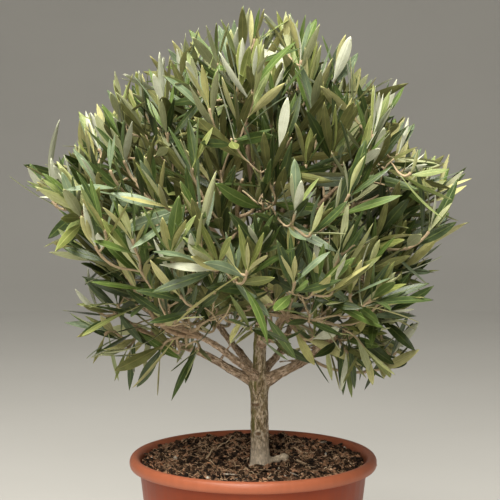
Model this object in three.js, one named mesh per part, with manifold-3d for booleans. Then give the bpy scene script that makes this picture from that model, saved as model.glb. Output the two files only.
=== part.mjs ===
// Potted olive tree: a young standard olive with one short straight trunk, two tiers of boughs
// and a full rounded crown, growing in a plastic terracotta-coloured pot with a rolled rim.
//
// Millimetres, +Z up. The origin is the centre of the pot's flat underside. Azimuths are in
// degrees, seen from above: 0 is +X, the tree's right, and 270 is its front.
//
// Run by Node with the npm packages three and manifold-3d. The default export is a THREE.Group
// with one named mesh for each sub-part.

import * as THREE from "three";
import { mergeVertices } from "three/addons/utils/BufferGeometryUtils.js";
import Module from "manifold-3d";

const wasm = await Module();
wasm.setup();

// ---------------------------------------------------------------- driving dimensions

const clearance = 0.3; // between pieces that touch on the real plant

const pot = {
  height: 205,
  rimRadius: 120,
  rimInnerRadius: 111,
  rimDepth: 12,
  rimRound: 4,
  neckRadius: 110,
  footRadius: 88,
  footRound: 5,
  wall: 2.4,
  floor: 3,
  sides: 36,
};

const soil = {
  seatHeight: 196,
  seatRadius: 36, // level ground round the trunk's foot
  slopeHeight: 197.6,
  slopeRadius: 70,
  edgeHeight: 198,
  edgeRound: 4, // where it sinks to the wall
  sides: 28,
};

const trunk = {
  foot: new THREE.Vector3(6.6, -2, soil.seatHeight + clearance),
  tip: new THREE.Vector3(9.5, 1, 366),
  lean: 3, // how far the middle of the trunk stands off the line from foot to tip
  footRadius: 9.2,
  flare: 2.2,
  flareHeight: 9,
  forkHeight: 275,
  forkRadius: 8.6,
  forkSwelling: 2.2,
  forkDepth: 7, // of the swelling, up and down
  leaderRadius: 6.7,
  tipRadius: 5.4,
  sides: 12,
  steps: 18,
};

// The stump of a root that shows on the soil, beside the trunk's foot.
const rootStump = { length: 27, radius: 2.7, endRadius: 3.4, azimuth: 12, sides: 7 };

// The crown is a dome over open, bare boughs: a shallow cone, with an arch through it.
const crown = {
  axis: new THREE.Vector2(-6, 0),
  radius: 222,
  widestHeight: 470,
  topHeight: 634,
  bottomHeight: 263,
  domeFullness: 1.5,
  skirtFullness: 2,
  focusHeight: 405, // of the point that its twigs grow away from
  bareHeight: 330, // of the underside, at the trunk
  bareSlope: 0.6,
  archHeight: 345, // of an arch over the trunk, open to the front and the back
  archSlope: 0.85,
};

// Each bough carries one mass of foliage. It leaves the trunk at `leaves`, climbs at `rise`
// degrees, and ends `reach` from the crown's axis, at height `ends`. `tip` is its radius there.
const boughs = [
  { name: "right", azimuth: -6, leaves: 275, rise: 24, reach: 82, ends: 317, radius: 4.7, tip: 3.3 },
  { name: "back_right", azimuth: 54, leaves: 283, rise: 28, reach: 76, ends: 327, radius: 3.6, tip: 2.7 },
  { name: "back_left", azimuth: 116, leaves: 279, rise: 30, reach: 76, ends: 326, radius: 3.8, tip: 2.8 },
  { name: "left", azimuth: 176, leaves: 274, rise: 30, reach: 84, ends: 317, radius: 3.9, tip: 2.9 },
  { name: "front_left", azimuth: 231, leaves: 276, rise: 40, reach: 76, ends: 331, radius: 3.7, tip: 2.7 },
  { name: "front_right", azimuth: 300, leaves: 313, rise: 28, reach: 66, ends: 345, radius: 3.2, tip: 2.5 },
  { name: "upper_front", azimuth: 268, leaves: 334, rise: 52, reach: 46, ends: 408, radius: 3.4, tip: 2.5 },
  { name: "upper_right", azimuth: 340, leaves: 344, rise: 48, reach: 52, ends: 412, radius: 3.5, tip: 2.6 },
  { name: "upper_back_right", azimuth: 52, leaves: 337, rise: 52, reach: 48, ends: 410, radius: 3.4, tip: 2.5 },
  { name: "upper_back_left", azimuth: 124, leaves: 346, rise: 52, reach: 50, ends: 412, radius: 3.4, tip: 2.5 },
  { name: "upper_left", azimuth: 196, leaves: 340, rise: 48, reach: 54, ends: 408, radius: 3.5, tip: 2.6 },
];
const boughShape = { sides: 6, steps: 5, straight: 0.55 }; // straight: the share that keeps to its rise
const leader = { name: "top", reach: 8, ends: 455, radius: 4.6, tip: 3.0, straight: 0.5 };

// The middle of each mass: its distance from the crown's axis, and its height.
const lowerHeart = { reach: 132, height: 347 };
const upperHeart = { reach: 106, height: 478 };
const topHeart = { reach: 0, height: 566 };

const twigs = {
  tips: 144, // over the whole crown
  shells: [1, 0.74, 0.5], // of the twig tips, as shares of the way out
  shellShares: [0.66, 0.25, 0.09],
  shellTurn: 57, // of each shell against the one outside it, in degrees
  tipDepth: 42, // of the outer shell, inside the crown's surface
  leastLength: 16,
  radius: 2.7,
  tipRadius: 1.8,
  upturn: 0.5, // how much a twig's end bends from outward to upward
  straight: 0.4, // the share of its end that keeps to that direction
  turnCost: 0.5, // of leaving its parent at an angle, in choosing where it branches
  pathCost: 0.3, // of a long way back to the bough
  sides: 3,
  bends: 2,
};
const stem = { tipRadius: 2.2, sides: 5, bends: 3 }; // of each mass

const leaves = {
  length: 62,
  width: 17,
  thickness: 1.4,
  pairs: 3, // on each twig
  pairSpacing: 15,
  tipInset: 4, // of the last pair, back from the twig's end
  stagger: 2.4, // between the two leaves of a pair
  openAngle: 50, // from the twig, for the lowest pair
  tipAngle: 28,
  sink: 0.3, // of the leaf's root past the twig's middle
  lowestShare: 0.12, // of the twig's length, below which it has none
  least: 0.86, // of the usual size
  most: 1.14,
  spread: { turn: 10, openness: 12 }, // in degrees, of the first try
  retry: { turn: 70, openness: 6, size: 0.07 }, // added to the spread, and taken off the size
  tries: 6,
  gap: 6.5, // least distance from other leaves
  twigGap: 5, // and from other twigs
};
const smoothing = 0.12; // corners this close to a flat face are left out of a fused mass
const firstSeed = 11;

// ---------------------------------------------------------------- solids and chance

const radians = THREE.MathUtils.degToRad;
const lerp = THREE.MathUtils.lerp;
const goldenAngle = 180 * (3 - Math.sqrt(5));

// A repeatable stream of numbers from 0 to 1.
function seededChance(seed) {
  let state = seed >>> 0;
  return () => {
    state = (state + 0x6d2b79f5) >>> 0;
    let mixed = Math.imul(state ^ (state >>> 15), state | 1);
    mixed ^= mixed + Math.imul(mixed ^ (mixed >>> 7), mixed | 61);
    return ((mixed ^ (mixed >>> 14)) >>> 0) / 2 ** 32;
  };
}

// The geometry with its shared corners merged, so that only closed surfaces are left.
function merged(geometry) {
  geometry.deleteAttribute("normal");
  geometry.deleteAttribute("uv");
  return mergeVertices(geometry, 1e-4);
}

function toSolid(geometry) {
  const closed = merged(geometry);
  return new wasm.Manifold(
    new wasm.Mesh({
      numProp: 3,
      vertProperties: closed.getAttribute("position").array,
      triVerts: new Uint32Array(closed.index.array),
    }),
  );
}

// The largest body of a solid, without scraps and without sealed hollows.
function largestBody(solid) {
  return solid.decompose().reduce((best, body) => (body.volume() > best.volume() ? body : best));
}

function toGeometry(solid) {
  const mesh = solid.getMesh();
  return new THREE.BufferGeometry()
    .setAttribute("position", new THREE.BufferAttribute(mesh.vertProperties, 3))
    .setIndex(new THREE.BufferAttribute(mesh.triVerts, 1));
}

// A closed limb along a curve. radiusAt takes the share of the way along it.
function limbGeometry(curve, radiusAt, sides, steps) {
  const limb = new THREE.CylinderGeometry(1, 1, 1, sides, steps);
  const frames = curve.computeFrenetFrames(steps);
  const corner = limb.getAttribute("position");
  for (let i = 0; i < corner.count; i++) {
    const step = Math.round((corner.getY(i) + 0.5) * steps);
    const radius = radiusAt(step / steps);
    const at = curve.getPointAt(step / steps);
    at.addScaledVector(frames.normals[step], corner.getX(i) * radius);
    at.addScaledVector(frames.binormals[step], -corner.getZ(i) * radius);
    corner.setXYZ(i, at.x, at.y, at.z);
  }
  return limb;
}

function outward(azimuth, climb = 0) {
  const a = radians(azimuth);
  const c = radians(climb);
  return new THREE.Vector3(Math.cos(a) * Math.cos(c), Math.sin(a) * Math.cos(c), Math.sin(c));
}

// ---------------------------------------------------------------- pot and soil

const rimFoot = pot.height - pot.rimDepth;

function potRadiusAt(height) {
  return lerp(pot.footRadius, pot.neckRadius, height / rimFoot);
}

// Injection-moulded plastic, one wall thick, with a rolled rim that stands out from the neck.
function potGeometry() {
  const crest = (pot.rimInnerRadius + pot.rimRadius) / 2;
  const section = new THREE.Path();
  section.moveTo(0, 0);
  section.lineTo(pot.footRadius - pot.footRound, 0);
  section.quadraticCurveTo(pot.footRadius, 0, potRadiusAt(pot.footRound), pot.footRound);
  section.lineTo(pot.neckRadius, rimFoot);
  section.lineTo(pot.rimRadius - pot.rimRound, rimFoot);
  section.quadraticCurveTo(pot.rimRadius, rimFoot, pot.rimRadius, rimFoot + pot.rimRound);
  section.quadraticCurveTo(pot.rimRadius, pot.height, crest, pot.height);
  section.quadraticCurveTo(pot.rimInnerRadius, pot.height, pot.rimInnerRadius, pot.height - pot.rimRound);
  section.lineTo(pot.neckRadius - pot.wall, rimFoot);
  section.lineTo(potRadiusAt(pot.floor) - pot.wall, pot.floor);
  section.lineTo(0, pot.floor);
  return new THREE.LatheGeometry(section.getPoints(3), pot.sides).rotateX(Math.PI / 2);
}

// Potting compost, which fills the pot to just under the rim and is a little lower round the trunk.
function soilGeometry() {
  // The flat sides of the faceted wall come closer to the axis than its corners.
  const flatness = Math.cos(Math.PI / pot.sides);
  const radiusAt = (height) => (potRadiusAt(height) - pot.wall - clearance) * flatness;
  const bottom = pot.floor + clearance;
  const shoulder = soil.edgeHeight - soil.edgeRound;
  const section = [
    new THREE.Vector2(0, bottom),
    new THREE.Vector2(radiusAt(bottom), bottom),
    new THREE.Vector2(radiusAt(shoulder), shoulder),
    new THREE.Vector2(radiusAt(shoulder) - soil.edgeRound, soil.edgeHeight),
    new THREE.Vector2(soil.slopeRadius, soil.slopeHeight),
    new THREE.Vector2(soil.seatRadius, soil.seatHeight),
    new THREE.Vector2(0, soil.seatHeight),
  ];
  return new THREE.LatheGeometry(section, soil.sides).rotateX(Math.PI / 2);
}

// ---------------------------------------------------------------- trunk and boughs

const trunkHeight = trunk.tip.z - trunk.foot.z;
const trunkCurve = new THREE.CubicBezierCurve3(
  trunk.foot,
  trunk.foot.clone().add(new THREE.Vector3(0, 0, trunkHeight * 0.3)),
  trunk.foot.clone().add(new THREE.Vector3(-trunk.lean, trunk.lean / 2, trunkHeight * 0.6)),
  trunk.tip,
);

function trunkPointAt(height) {
  return trunkCurve.getPointAt((height - trunk.foot.z) / trunkHeight);
}

// Root flare at the foot, a swelling where the lower boughs leave, and a thinner leader above it.
function trunkRadiusAt(share) {
  const height = lerp(trunk.foot.z, trunk.tip.z, share);
  const flare = trunk.flare * Math.exp((trunk.foot.z - height) / trunk.flareHeight);
  const swelling = trunk.forkSwelling * Math.exp(-(((height - trunk.forkHeight) / trunk.forkDepth) ** 2));
  const forkShare = (trunk.forkHeight - trunk.foot.z) / trunkHeight;
  const below = lerp(trunk.footRadius, trunk.forkRadius, share / forkShare);
  const above = lerp(trunk.leaderRadius, trunk.tipRadius, (share - forkShare) / (1 - forkShare));
  const leaderFoot = trunk.forkHeight + 2 * trunk.forkDepth;
  const leaving = THREE.MathUtils.smoothstep(height, trunk.forkHeight, leaderFoot);
  return lerp(below, above, leaving) + flare + swelling;
}

// The stump starts inside the trunk's foot and lies on the soil.
function rootStumpGeometry() {
  const start = trunk.foot.clone().setZ(trunk.foot.z + rootStump.endRadius);
  const end = start.clone().addScaledVector(outward(rootStump.azimuth), rootStump.length);
  const radiusAt = (share) => lerp(rootStump.radius, rootStump.endRadius, share);
  return limbGeometry(new THREE.LineCurve3(start, end), radiusAt, rootStump.sides, 2);
}

function aroundCrown(azimuth, reach, height) {
  const point = outward(azimuth).multiplyScalar(reach).setZ(height);
  return point.add(new THREE.Vector3(crown.axis.x, crown.axis.y, 0));
}

// One tapering limb from inside the trunk to where its mass begins.
function boughCurve(bough) {
  const start = trunkPointAt(bough.leaves);
  const end = aroundCrown(bough.azimuth, bough.reach, bough.ends);
  const bend = outward(bough.azimuth, bough.rise).multiplyScalar(start.distanceTo(end) * boughShape.straight);
  return new THREE.QuadraticBezierCurve3(start, bend.add(start), end);
}

// The leader goes on from the trunk's tip into the top of the crown.
function leaderCurve() {
  const away = trunkCurve.getTangentAt(1);
  const start = trunk.tip.clone().addScaledVector(away, clearance);
  const end = aroundCrown(0, leader.reach, leader.ends);
  const bend = start.clone().addScaledVector(away, start.distanceTo(end) * leader.straight);
  return new THREE.QuadraticBezierCurve3(start, bend, end);
}

// ---------------------------------------------------------------- the crown's space

const focus = aroundCrown(0, 0, crown.focusHeight);

function crownRadiusAt(height) {
  const isDome = height > crown.widestHeight;
  const span = (isDome ? crown.topHeight : crown.bottomHeight) - crown.widestHeight;
  const share = (height - crown.widestHeight) / span;
  const fullness = isDome ? crown.domeFullness : crown.skirtFullness;
  return share >= 1 ? 0 : crown.radius * (1 - share ** fullness) ** (1 / fullness);
}

function inCrown(point) {
  const reach = Math.hypot(point.x - crown.axis.x, point.y - crown.axis.y);
  const cone = crown.bareHeight - crown.bareSlope * reach;
  const arch = crown.archHeight - crown.archSlope * Math.abs(point.x - crown.axis.x);
  return reach < crownRadiusAt(point.z) && point.z > Math.max(cone, arch);
}

// Each mass has the part of the crown that is nearest to its own heart.
const masses = [...boughs, leader].map((bough) => {
  const lowerOrUpper = bough.name.startsWith("upper") ? upperHeart : lowerHeart;
  const heart = bough === leader ? topHeart : lowerOrUpper;
  return { bough, heart: aroundCrown(bough.azimuth ?? 0, heart.reach, heart.height) };
});

function inSpaceOf(mass, point, margin) {
  return masses.every((other) => {
    if (other === mass) return true;
    const towards = other.heart.clone().sub(mass.heart);
    const middle = other.heart.clone().lerp(mass.heart, 0.5);
    return point.clone().sub(middle).dot(towards.normalize()) < -margin;
  });
}

function nearestMass(point) {
  return masses.reduce((best, mass) =>
    mass.heart.distanceTo(point) < best.heart.distanceTo(point) ? mass : best,
  );
}

// ---------------------------------------------------------------- twigs

// The tips of all twigs, spread evenly by the golden angle over nested shells of the crown.
function twigTips() {
  const tips = [];
  twigs.shells.forEach((shell, s) => {
    const count = Math.round(twigs.tips * twigs.shellShares[s]);
    for (let i = 0; i < count; i++) {
      const height = lerp(crown.bottomHeight, crown.topHeight, (i + 0.5) / count);
      const azimuth = goldenAngle * i + twigs.shellTurn * s;
      const way = aroundCrown(azimuth, crownRadiusAt(height), height).sub(focus);
      const tip = way.setLength((way.length() - twigs.tipDepth) * shell).add(focus);
      if (inCrown(tip)) tips.push(tip);
    }
  });
  return tips;
}

// A twig grows out towards the crown's surface and turns up at its end.
function twigCurve(start, end) {
  const outwards = end.clone().sub(focus).normalize();
  const rise = new THREE.Vector3(0, 0, twigs.upturn).add(outwards).normalize();
  const bend = end.clone().addScaledVector(rise, -twigs.straight * start.distanceTo(end));
  return new THREE.QuadraticBezierCurve3(start, bend, end);
}

function isClearOfLimbs(point, room, limbs) {
  return limbs.every(({ points, radiusAt }) =>
    points.every((centre, i) => centre.distanceTo(point) > radiusAt(i / (points.length - 1)) + room),
  );
}

// The place on the mass's wood that a new twig leaves from: near its tip, and not far along.
function branchingPoint(tip, wood) {
  let best = null;
  for (const { curve, pathLength, points } of wood) {
    points.slice(2, -1).forEach((point, i) => {
      const share = (i + 2) / (points.length - 1);
      const away = tip.clone().sub(point);
      const turn = curve.getTangentAt(share).angleTo(away);
      const path = pathLength + share * curve.getLength();
      const cost = away.length() * (1 + twigs.turnCost * turn) + twigs.pathCost * path;
      if (!best || cost < best.cost) best = { point, cost, path };
    });
  }
  return best;
}

// The stem goes on from the bough's tip to the middle of the mass, and the twigs branch from it
// and from each other, the inner ones first. A twig that would leave the mass's space is skipped.
function growWood(mass, tips, limbs) {
  const away = mass.boughCurve.getTangentAt(1);
  const foot = mass.boughCurve.getPointAt(1).addScaledVector(away, clearance);
  const bend = foot.clone().addScaledVector(away, foot.distanceTo(mass.heart) * twigs.straight);
  const stemCurve = new THREE.QuadraticBezierCurve3(foot, bend, mass.heart);
  const wood = [{ curve: stemCurve, pathLength: 0, points: stemCurve.getSpacedPoints(8) }];
  const innerFirst = [...tips].sort((a, b) => a.distanceTo(foot) - b.distanceTo(foot));
  const room = twigs.radius + clearance;
  for (const tip of innerFirst) {
    const branching = branchingPoint(tip, wood);
    if (branching.point.distanceTo(tip) < twigs.leastLength) continue;
    const curve = twigCurve(branching.point, tip);
    const points = curve.getSpacedPoints(8);
    if (!points.every((point) => inSpaceOf(mass, point, room))) continue;
    if (!points.slice(1).every((point) => isClearOfLimbs(point, room, limbs))) continue;
    wood.push({ curve, pathLength: branching.path, points });
  }
  return wood;
}

// ---------------------------------------------------------------- leaves

// Eight faces: the leaf is widest in the middle and thickest along its midrib.
function leafGeometry({ root, along, across, face, length, width }) {
  const size = new THREE.Vector3(length / 2, width / 2, leaves.thickness / 2);
  const place = new THREE.Matrix4().makeBasis(along, across, face).scale(size);
  place.setPosition(root.clone().addScaledVector(along, length / 2));
  return new THREE.OctahedronGeometry(1, 0).applyMatrix4(place);
}

// A leaf on a twig, turned round it and opened away from it by angles in degrees.
function leafOn(twig, share, turn, openness, size) {
  const axis = twig.getTangentAt(share);
  const side = new THREE.Vector3(0, 0, 1).cross(axis).normalize();
  const away = side.applyAxisAngle(axis, radians(turn));
  const ahead = Math.cos(radians(openness));
  const aside = Math.sin(radians(openness));
  const along = axis.clone().multiplyScalar(ahead).addScaledVector(away, aside);
  const face = axis.clone().multiplyScalar(aside).addScaledVector(away, -ahead);
  return {
    root: twig.getPointAt(share).addScaledVector(along, -leaves.sink),
    along,
    across: face.clone().cross(along),
    face,
    length: leaves.length * size,
    width: leaves.width * size,
  };
}

const leafShares = [0.25, 0.4, 0.55, 0.7, 0.85, 1];

function pointOnLeaf(leaf, share, sideways = 0) {
  const fullness = 1 - Math.abs(2 * share - 1);
  const point = leaf.root.clone().addScaledVector(leaf.along, leaf.length * share);
  return point.addScaledVector(leaf.across, (leaf.width / 2) * sideways * fullness);
}

// Whether the leaf stays in its mass's space, and off the limbs, the twigs and the other leaves.
function leafFits(leaf, mass, limbs, wood, grown) {
  return leafShares.every((share) => {
    const middle = pointOnLeaf(leaf, share);
    const isNear = (point, gap) => point.distanceTo(middle) < gap;
    if (wood.some(({ points }) => points.some((point) => isNear(point, leaves.twigGap)))) return false;
    const isNearLeaf = (other) => leafShares.some((s) => isNear(pointOnLeaf(other, s), leaves.gap));
    if (grown.some(isNearLeaf)) return false;
    return [-1, 0, 1].every((sideways) => {
      const point = pointOnLeaf(leaf, share, sideways);
      if (!inCrown(point) || !inSpaceOf(mass, point, leaves.thickness)) return false;
      return isClearOfLimbs(point, 2 * leaves.thickness, limbs);
    });
  });
}

// Opposite pairs, each turned a quarter from the last, that lie closer to the twig near its tip.
// A leaf that doesn't fit tries again, turned a little more and a little smaller.
function growLeaves(mass, wood, limbs, chance) {
  const grown = [];
  const twigsOnly = wood.slice(1); // the stem is bare
  for (const { curve } of twigsOnly) {
    const firstTurn = chance() * 180;
    for (let i = 0; i < leaves.pairs * 2; i++) {
      const pair = Math.floor(i / 2);
      const hand = i % 2;
      const fromTip = leaves.tipInset + pair * leaves.pairSpacing + hand * leaves.stagger;
      const share = 1 - fromTip / curve.getLength();
      if (share < leaves.lowestShare) break;
      const usualOpenness = lerp(leaves.tipAngle, leaves.openAngle, pair / (leaves.pairs - 1));
      for (let retry = 0; retry < leaves.tries; retry++) {
        const { spread, retry: more } = leaves;
        const turnSpread = (chance() - 0.5) * (spread.turn + more.turn * retry);
        const turn = firstTurn + pair * 90 + hand * 180 + turnSpread;
        const openness = usualOpenness + (chance() - 0.5) * (spread.openness + more.openness * retry);
        const size = lerp(leaves.least, leaves.most, chance()) * (1 - more.size * retry);
        const leaf = leafOn(curve, share, turn, openness, size);
        if (leafFits(leaf, mass, limbs, wood, grown)) {
          grown.push(leaf);
          break;
        }
      }
    }
  }
  return grown;
}

// ---------------------------------------------------------------- masses of foliage

// A mass's twigs and leaves, fused into one solid on its stem.
function foliageSolid(mass, tips, limbs, seed) {
  const wood = growWood(mass, tips, limbs);
  const grown = growLeaves(mass, wood, limbs, seededChance(seed));
  const solids = wood.map(({ curve }, i) => {
    const shape = i ? twigs : { ...stem, radius: mass.bough.tip };
    const radiusAt = (share) => lerp(shape.radius, shape.tipRadius, share);
    return toSolid(limbGeometry(curve, radiusAt, shape.sides, shape.bends));
  });
  solids.push(...grown.map((leaf) => toSolid(leafGeometry(leaf))));
  const fused = largestBody(wasm.Manifold.union(solids));
  return largestBody(fused.asOriginal().simplify(smoothing));
}

// ---------------------------------------------------------------- the tree

const finishes = {
  pot: new THREE.MeshStandardMaterial({ color: 0xc06a4a, roughness: 0.45, metalness: 0 }),
  soil: new THREE.MeshStandardMaterial({ color: 0x3f2c22, roughness: 0.95, metalness: 0 }),
  bark: new THREE.MeshStandardMaterial({ color: 0x9a8468, roughness: 0.85, metalness: 0 }),
  foliage: new THREE.MeshStandardMaterial({ color: 0x7f8a5c, roughness: 0.55, metalness: 0 }),
};

const tree = new THREE.Group();

function addPart(name, geometry, finish) {
  const part = new THREE.Mesh(geometry, finish);
  part.name = name;
  tree.add(part);
}

addPart("pot", merged(potGeometry()), finishes.pot);
addPart("soil", merged(soilGeometry()), finishes.soil);

const trunkLimb = (extra) =>
  toSolid(limbGeometry(trunkCurve, (share) => trunkRadiusAt(share) + extra, trunk.sides, trunk.steps));
addPart("trunk", toGeometry(trunkLimb(0).add(toSolid(rootStumpGeometry()))), finishes.bark);

// What later limbs are cut clear of: the wood so far, grown by the clearance.
let taken = trunkLimb(clearance);
const limbs = [{ points: trunkCurve.getSpacedPoints(40), radiusAt: trunkRadiusAt }];

const { sides, steps } = boughShape;
for (const mass of masses) {
  const { bough } = mass;
  mass.boughCurve = bough === leader ? leaderCurve() : boughCurve(bough);
  const radiusAt = (share) => lerp(bough.radius, bough.tip, share);
  const limb = (extra) =>
    toSolid(limbGeometry(mass.boughCurve, (share) => radiusAt(share) + extra, sides, steps));
  addPart("bough_" + bough.name, toGeometry(largestBody(limb(0).subtract(taken))), finishes.bark);
  taken = taken.add(limb(clearance));
  limbs.push({ points: mass.boughCurve.getSpacedPoints(24), radiusAt });
}

const tips = twigTips();
masses.forEach((mass, i) => {
  const own = tips.filter((tip) => nearestMass(tip) === mass);
  const foliage = foliageSolid(mass, own, limbs, firstSeed + i);
  addPart("foliage_" + mass.bough.name, toGeometry(foliage), finishes.foliage);
});

export default tree;
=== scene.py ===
import math

import bpy
import numpy as np
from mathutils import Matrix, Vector, noise


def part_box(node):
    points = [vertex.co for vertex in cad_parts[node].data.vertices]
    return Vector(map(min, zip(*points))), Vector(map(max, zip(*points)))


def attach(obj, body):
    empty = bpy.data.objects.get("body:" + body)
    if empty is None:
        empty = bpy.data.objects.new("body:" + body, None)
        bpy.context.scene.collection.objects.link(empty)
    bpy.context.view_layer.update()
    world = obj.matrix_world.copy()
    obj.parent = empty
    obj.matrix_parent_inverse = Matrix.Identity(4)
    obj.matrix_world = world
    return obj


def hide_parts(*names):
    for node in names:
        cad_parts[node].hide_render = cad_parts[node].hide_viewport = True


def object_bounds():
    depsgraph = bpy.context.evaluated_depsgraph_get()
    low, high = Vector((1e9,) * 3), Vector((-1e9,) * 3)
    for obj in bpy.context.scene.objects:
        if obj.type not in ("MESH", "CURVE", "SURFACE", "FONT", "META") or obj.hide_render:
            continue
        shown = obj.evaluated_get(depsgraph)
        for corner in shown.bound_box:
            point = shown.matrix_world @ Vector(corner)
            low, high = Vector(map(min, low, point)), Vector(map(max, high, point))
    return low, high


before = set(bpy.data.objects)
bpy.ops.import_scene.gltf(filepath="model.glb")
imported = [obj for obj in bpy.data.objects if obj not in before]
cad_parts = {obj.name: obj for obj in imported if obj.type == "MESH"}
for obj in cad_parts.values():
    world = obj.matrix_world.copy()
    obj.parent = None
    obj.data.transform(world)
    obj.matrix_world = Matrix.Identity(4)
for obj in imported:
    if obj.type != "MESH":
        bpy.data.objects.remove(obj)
cad_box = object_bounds()

# ------------------------------------------------------------------ camera
# A long lens, a little higher than the middle of the crown and level with the front of the pot.
# It looks slightly down, so the compost shows inside the rim.
camera = bpy.data.objects.new("camera", bpy.data.cameras.new("camera"))
camera.location = (-0.0031, -1.6, 0.5626)
camera.rotation_euler = (math.radians(90 - 5.65), 0, 0)
camera.data.sensor_fit = "HORIZONTAL"
camera.data.sensor_width = 36
camera.data.lens = 120.5
bpy.context.scene.collection.objects.link(camera)
bpy.context.scene.camera = camera

# ------------------------------------------------------------------ pot
# A round nursery pot, injection moulded in terracotta-coloured polypropylene with a satin face.
# One thin wall tapers to the foot, and the mouth is stiffened by a fat rolled rim.


def place_piece(name, mesh):
    """The object that shows a mesh, on the one body there is."""
    piece = bpy.data.objects.new(name, mesh)
    bpy.context.scene.collection.objects.link(piece)
    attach(piece, "root")
    return piece


def new_piece(name, points, faces, finishes, face_finish=None, is_smooth=True):
    """A piece from an array of points and arrays of quads and triangles."""
    mesh = bpy.data.meshes.new(name)
    sizes = np.concatenate([np.full(len(f), f.shape[1], np.int32) for f in faces])
    starts = np.concatenate([[0], np.cumsum(sizes)[:-1]])
    corners = np.concatenate([f.ravel() for f in faces])
    mesh.vertices.add(len(points))
    mesh.vertices.foreach_set("co", np.asarray(points, np.float32).ravel())
    mesh.loops.add(len(corners))
    mesh.loops.foreach_set("vertex_index", corners.astype(np.int32))
    mesh.polygons.add(len(sizes))
    mesh.polygons.foreach_set("loop_start", starts.astype(np.int32))
    mesh.update(calc_edges=True)
    for finish in finishes:
        mesh.materials.append(finish)
    if face_finish is not None:
        mesh.polygons.foreach_set("material_index", np.asarray(face_finish, np.int32))
    if is_smooth:
        mesh.shade_smooth()
    else:
        mesh.shade_flat()
    return place_piece(name, mesh)


def feed(tree, made, sockets):
    """Sets or links a node's input sockets, by number or name. An underscore stands for a space."""
    for socket, value in sockets.items():
        entry = made.inputs[socket.replace("_", " ") if isinstance(socket, str) else socket]
        if isinstance(value, bpy.types.NodeSocket):
            tree.links.new(value, entry)
        else:
            entry.default_value = value
    return made


def node(tree, kind, sockets=None, **settings):
    """A shader node with its settings, and its input sockets set or linked."""
    made = tree.nodes.new(kind)
    for setting, value in settings.items():
        setattr(made, setting, value)
    return feed(tree, made, sockets or {})


def colour(red, green, blue):
    return (red, green, blue, 1)


def new_effect(name, inputs, outputs):
    """An empty shader node group, its input node and its output node."""
    group = bpy.data.node_groups.new(name, "ShaderNodeTree")
    kinds = {"colour": "NodeSocketColor", "value": "NodeSocketFloat", "vector": "NodeSocketVector"}
    for socket, kind in inputs.items():
        group.interface.new_socket(name=socket, in_out="INPUT", socket_type=kinds[kind])
    for socket, kind in outputs.items():
        group.interface.new_socket(name=socket, in_out="OUTPUT", socket_type=kinds[kind])
    return group, node(group, "NodeGroupInput").outputs, node(group, "NodeGroupOutput")


def place_effect(tree, group, **sockets):
    """The group in a material, with its own values."""
    return node(tree, "ShaderNodeGroup", sockets, node_tree=group)


def new_finish(name, **shader_values):
    """A material, its node tree and its Principled shader, with values that are the same all over."""
    material = bpy.data.materials.new(name)
    material.use_nodes = True
    shader = material.node_tree.nodes["Principled BSDF"]
    return material, material.node_tree, feed(material.node_tree, shader, shader_values)


def ramp(tree, factor, low, high):
    """0 up to low, 1 from high on, smooth between. low may be more than high."""
    return node(tree, "ShaderNodeMapRange", {0: factor, 1: low, 2: high},
                interpolation_type="SMOOTHSTEP").outputs[0]


def mix(tree, factor, first, second, blend="MIX"):
    return node(tree, "ShaderNodeMix", {0: factor, 6: first, 7: second},
                data_type="RGBA", blend_type=blend).outputs[2]


def maths(tree, operation, *values):
    return node(tree, "ShaderNodeMath", dict(enumerate(values)), operation=operation).outputs[0]


def scaled(tree, vector, scale):
    return node(tree, "ShaderNodeVectorMath", {0: vector, 1: scale}, operation="MULTIPLY").outputs[0]


def own_place(tree):
    return node(tree, "ShaderNodeTexCoord").outputs["Object"]


def soft_noise(tree, place, scale, detail, roughness=0.5):
    """Smooth random values about 0.5."""
    return node(tree, "ShaderNodeTexNoise", {
        "Vector": place, "Scale": scale, "Detail": detail, "Roughness": roughness,
    }).outputs[0]


def bump(tree, strength, distance, height, invert=False):
    """A normal that follows a height."""
    return node(tree, "ShaderNodeBump", {"Strength": strength, "Distance": distance, "Height": height},
                invert=invert).outputs[0]


black, white = colour(0, 0, 0), colour(1, 1, 1)

# Two colours in soft patches of one size.
mottling, given, handed = new_effect(
    "mottling",
    {"Place": "vector", "Size": "value", "Sharpness": "value", "Low": "colour", "High": "colour"},
    {"Colour": "colour", "Mask": "value"},
)
patches = soft_noise(mottling, given["Place"], maths(mottling, "DIVIDE", 1.0, given["Size"]), 4.0, 0.55)
patch_start = maths(mottling, "SUBTRACT", 0.5, maths(mottling, "DIVIDE", 0.12, given["Sharpness"]))
patch_mask = ramp(mottling, patches, patch_start, maths(mottling, "SUBTRACT", 1.0, patch_start))
feed(mottling, handed, {
    "Colour": mix(mottling, patch_mask, given["Low"], given["High"]), "Mask": patch_mask,
})

pot_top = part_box("pot")[1]
rim_radius, rim_height = pot_top[0], pot_top[2]
pot_sides = 192
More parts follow.
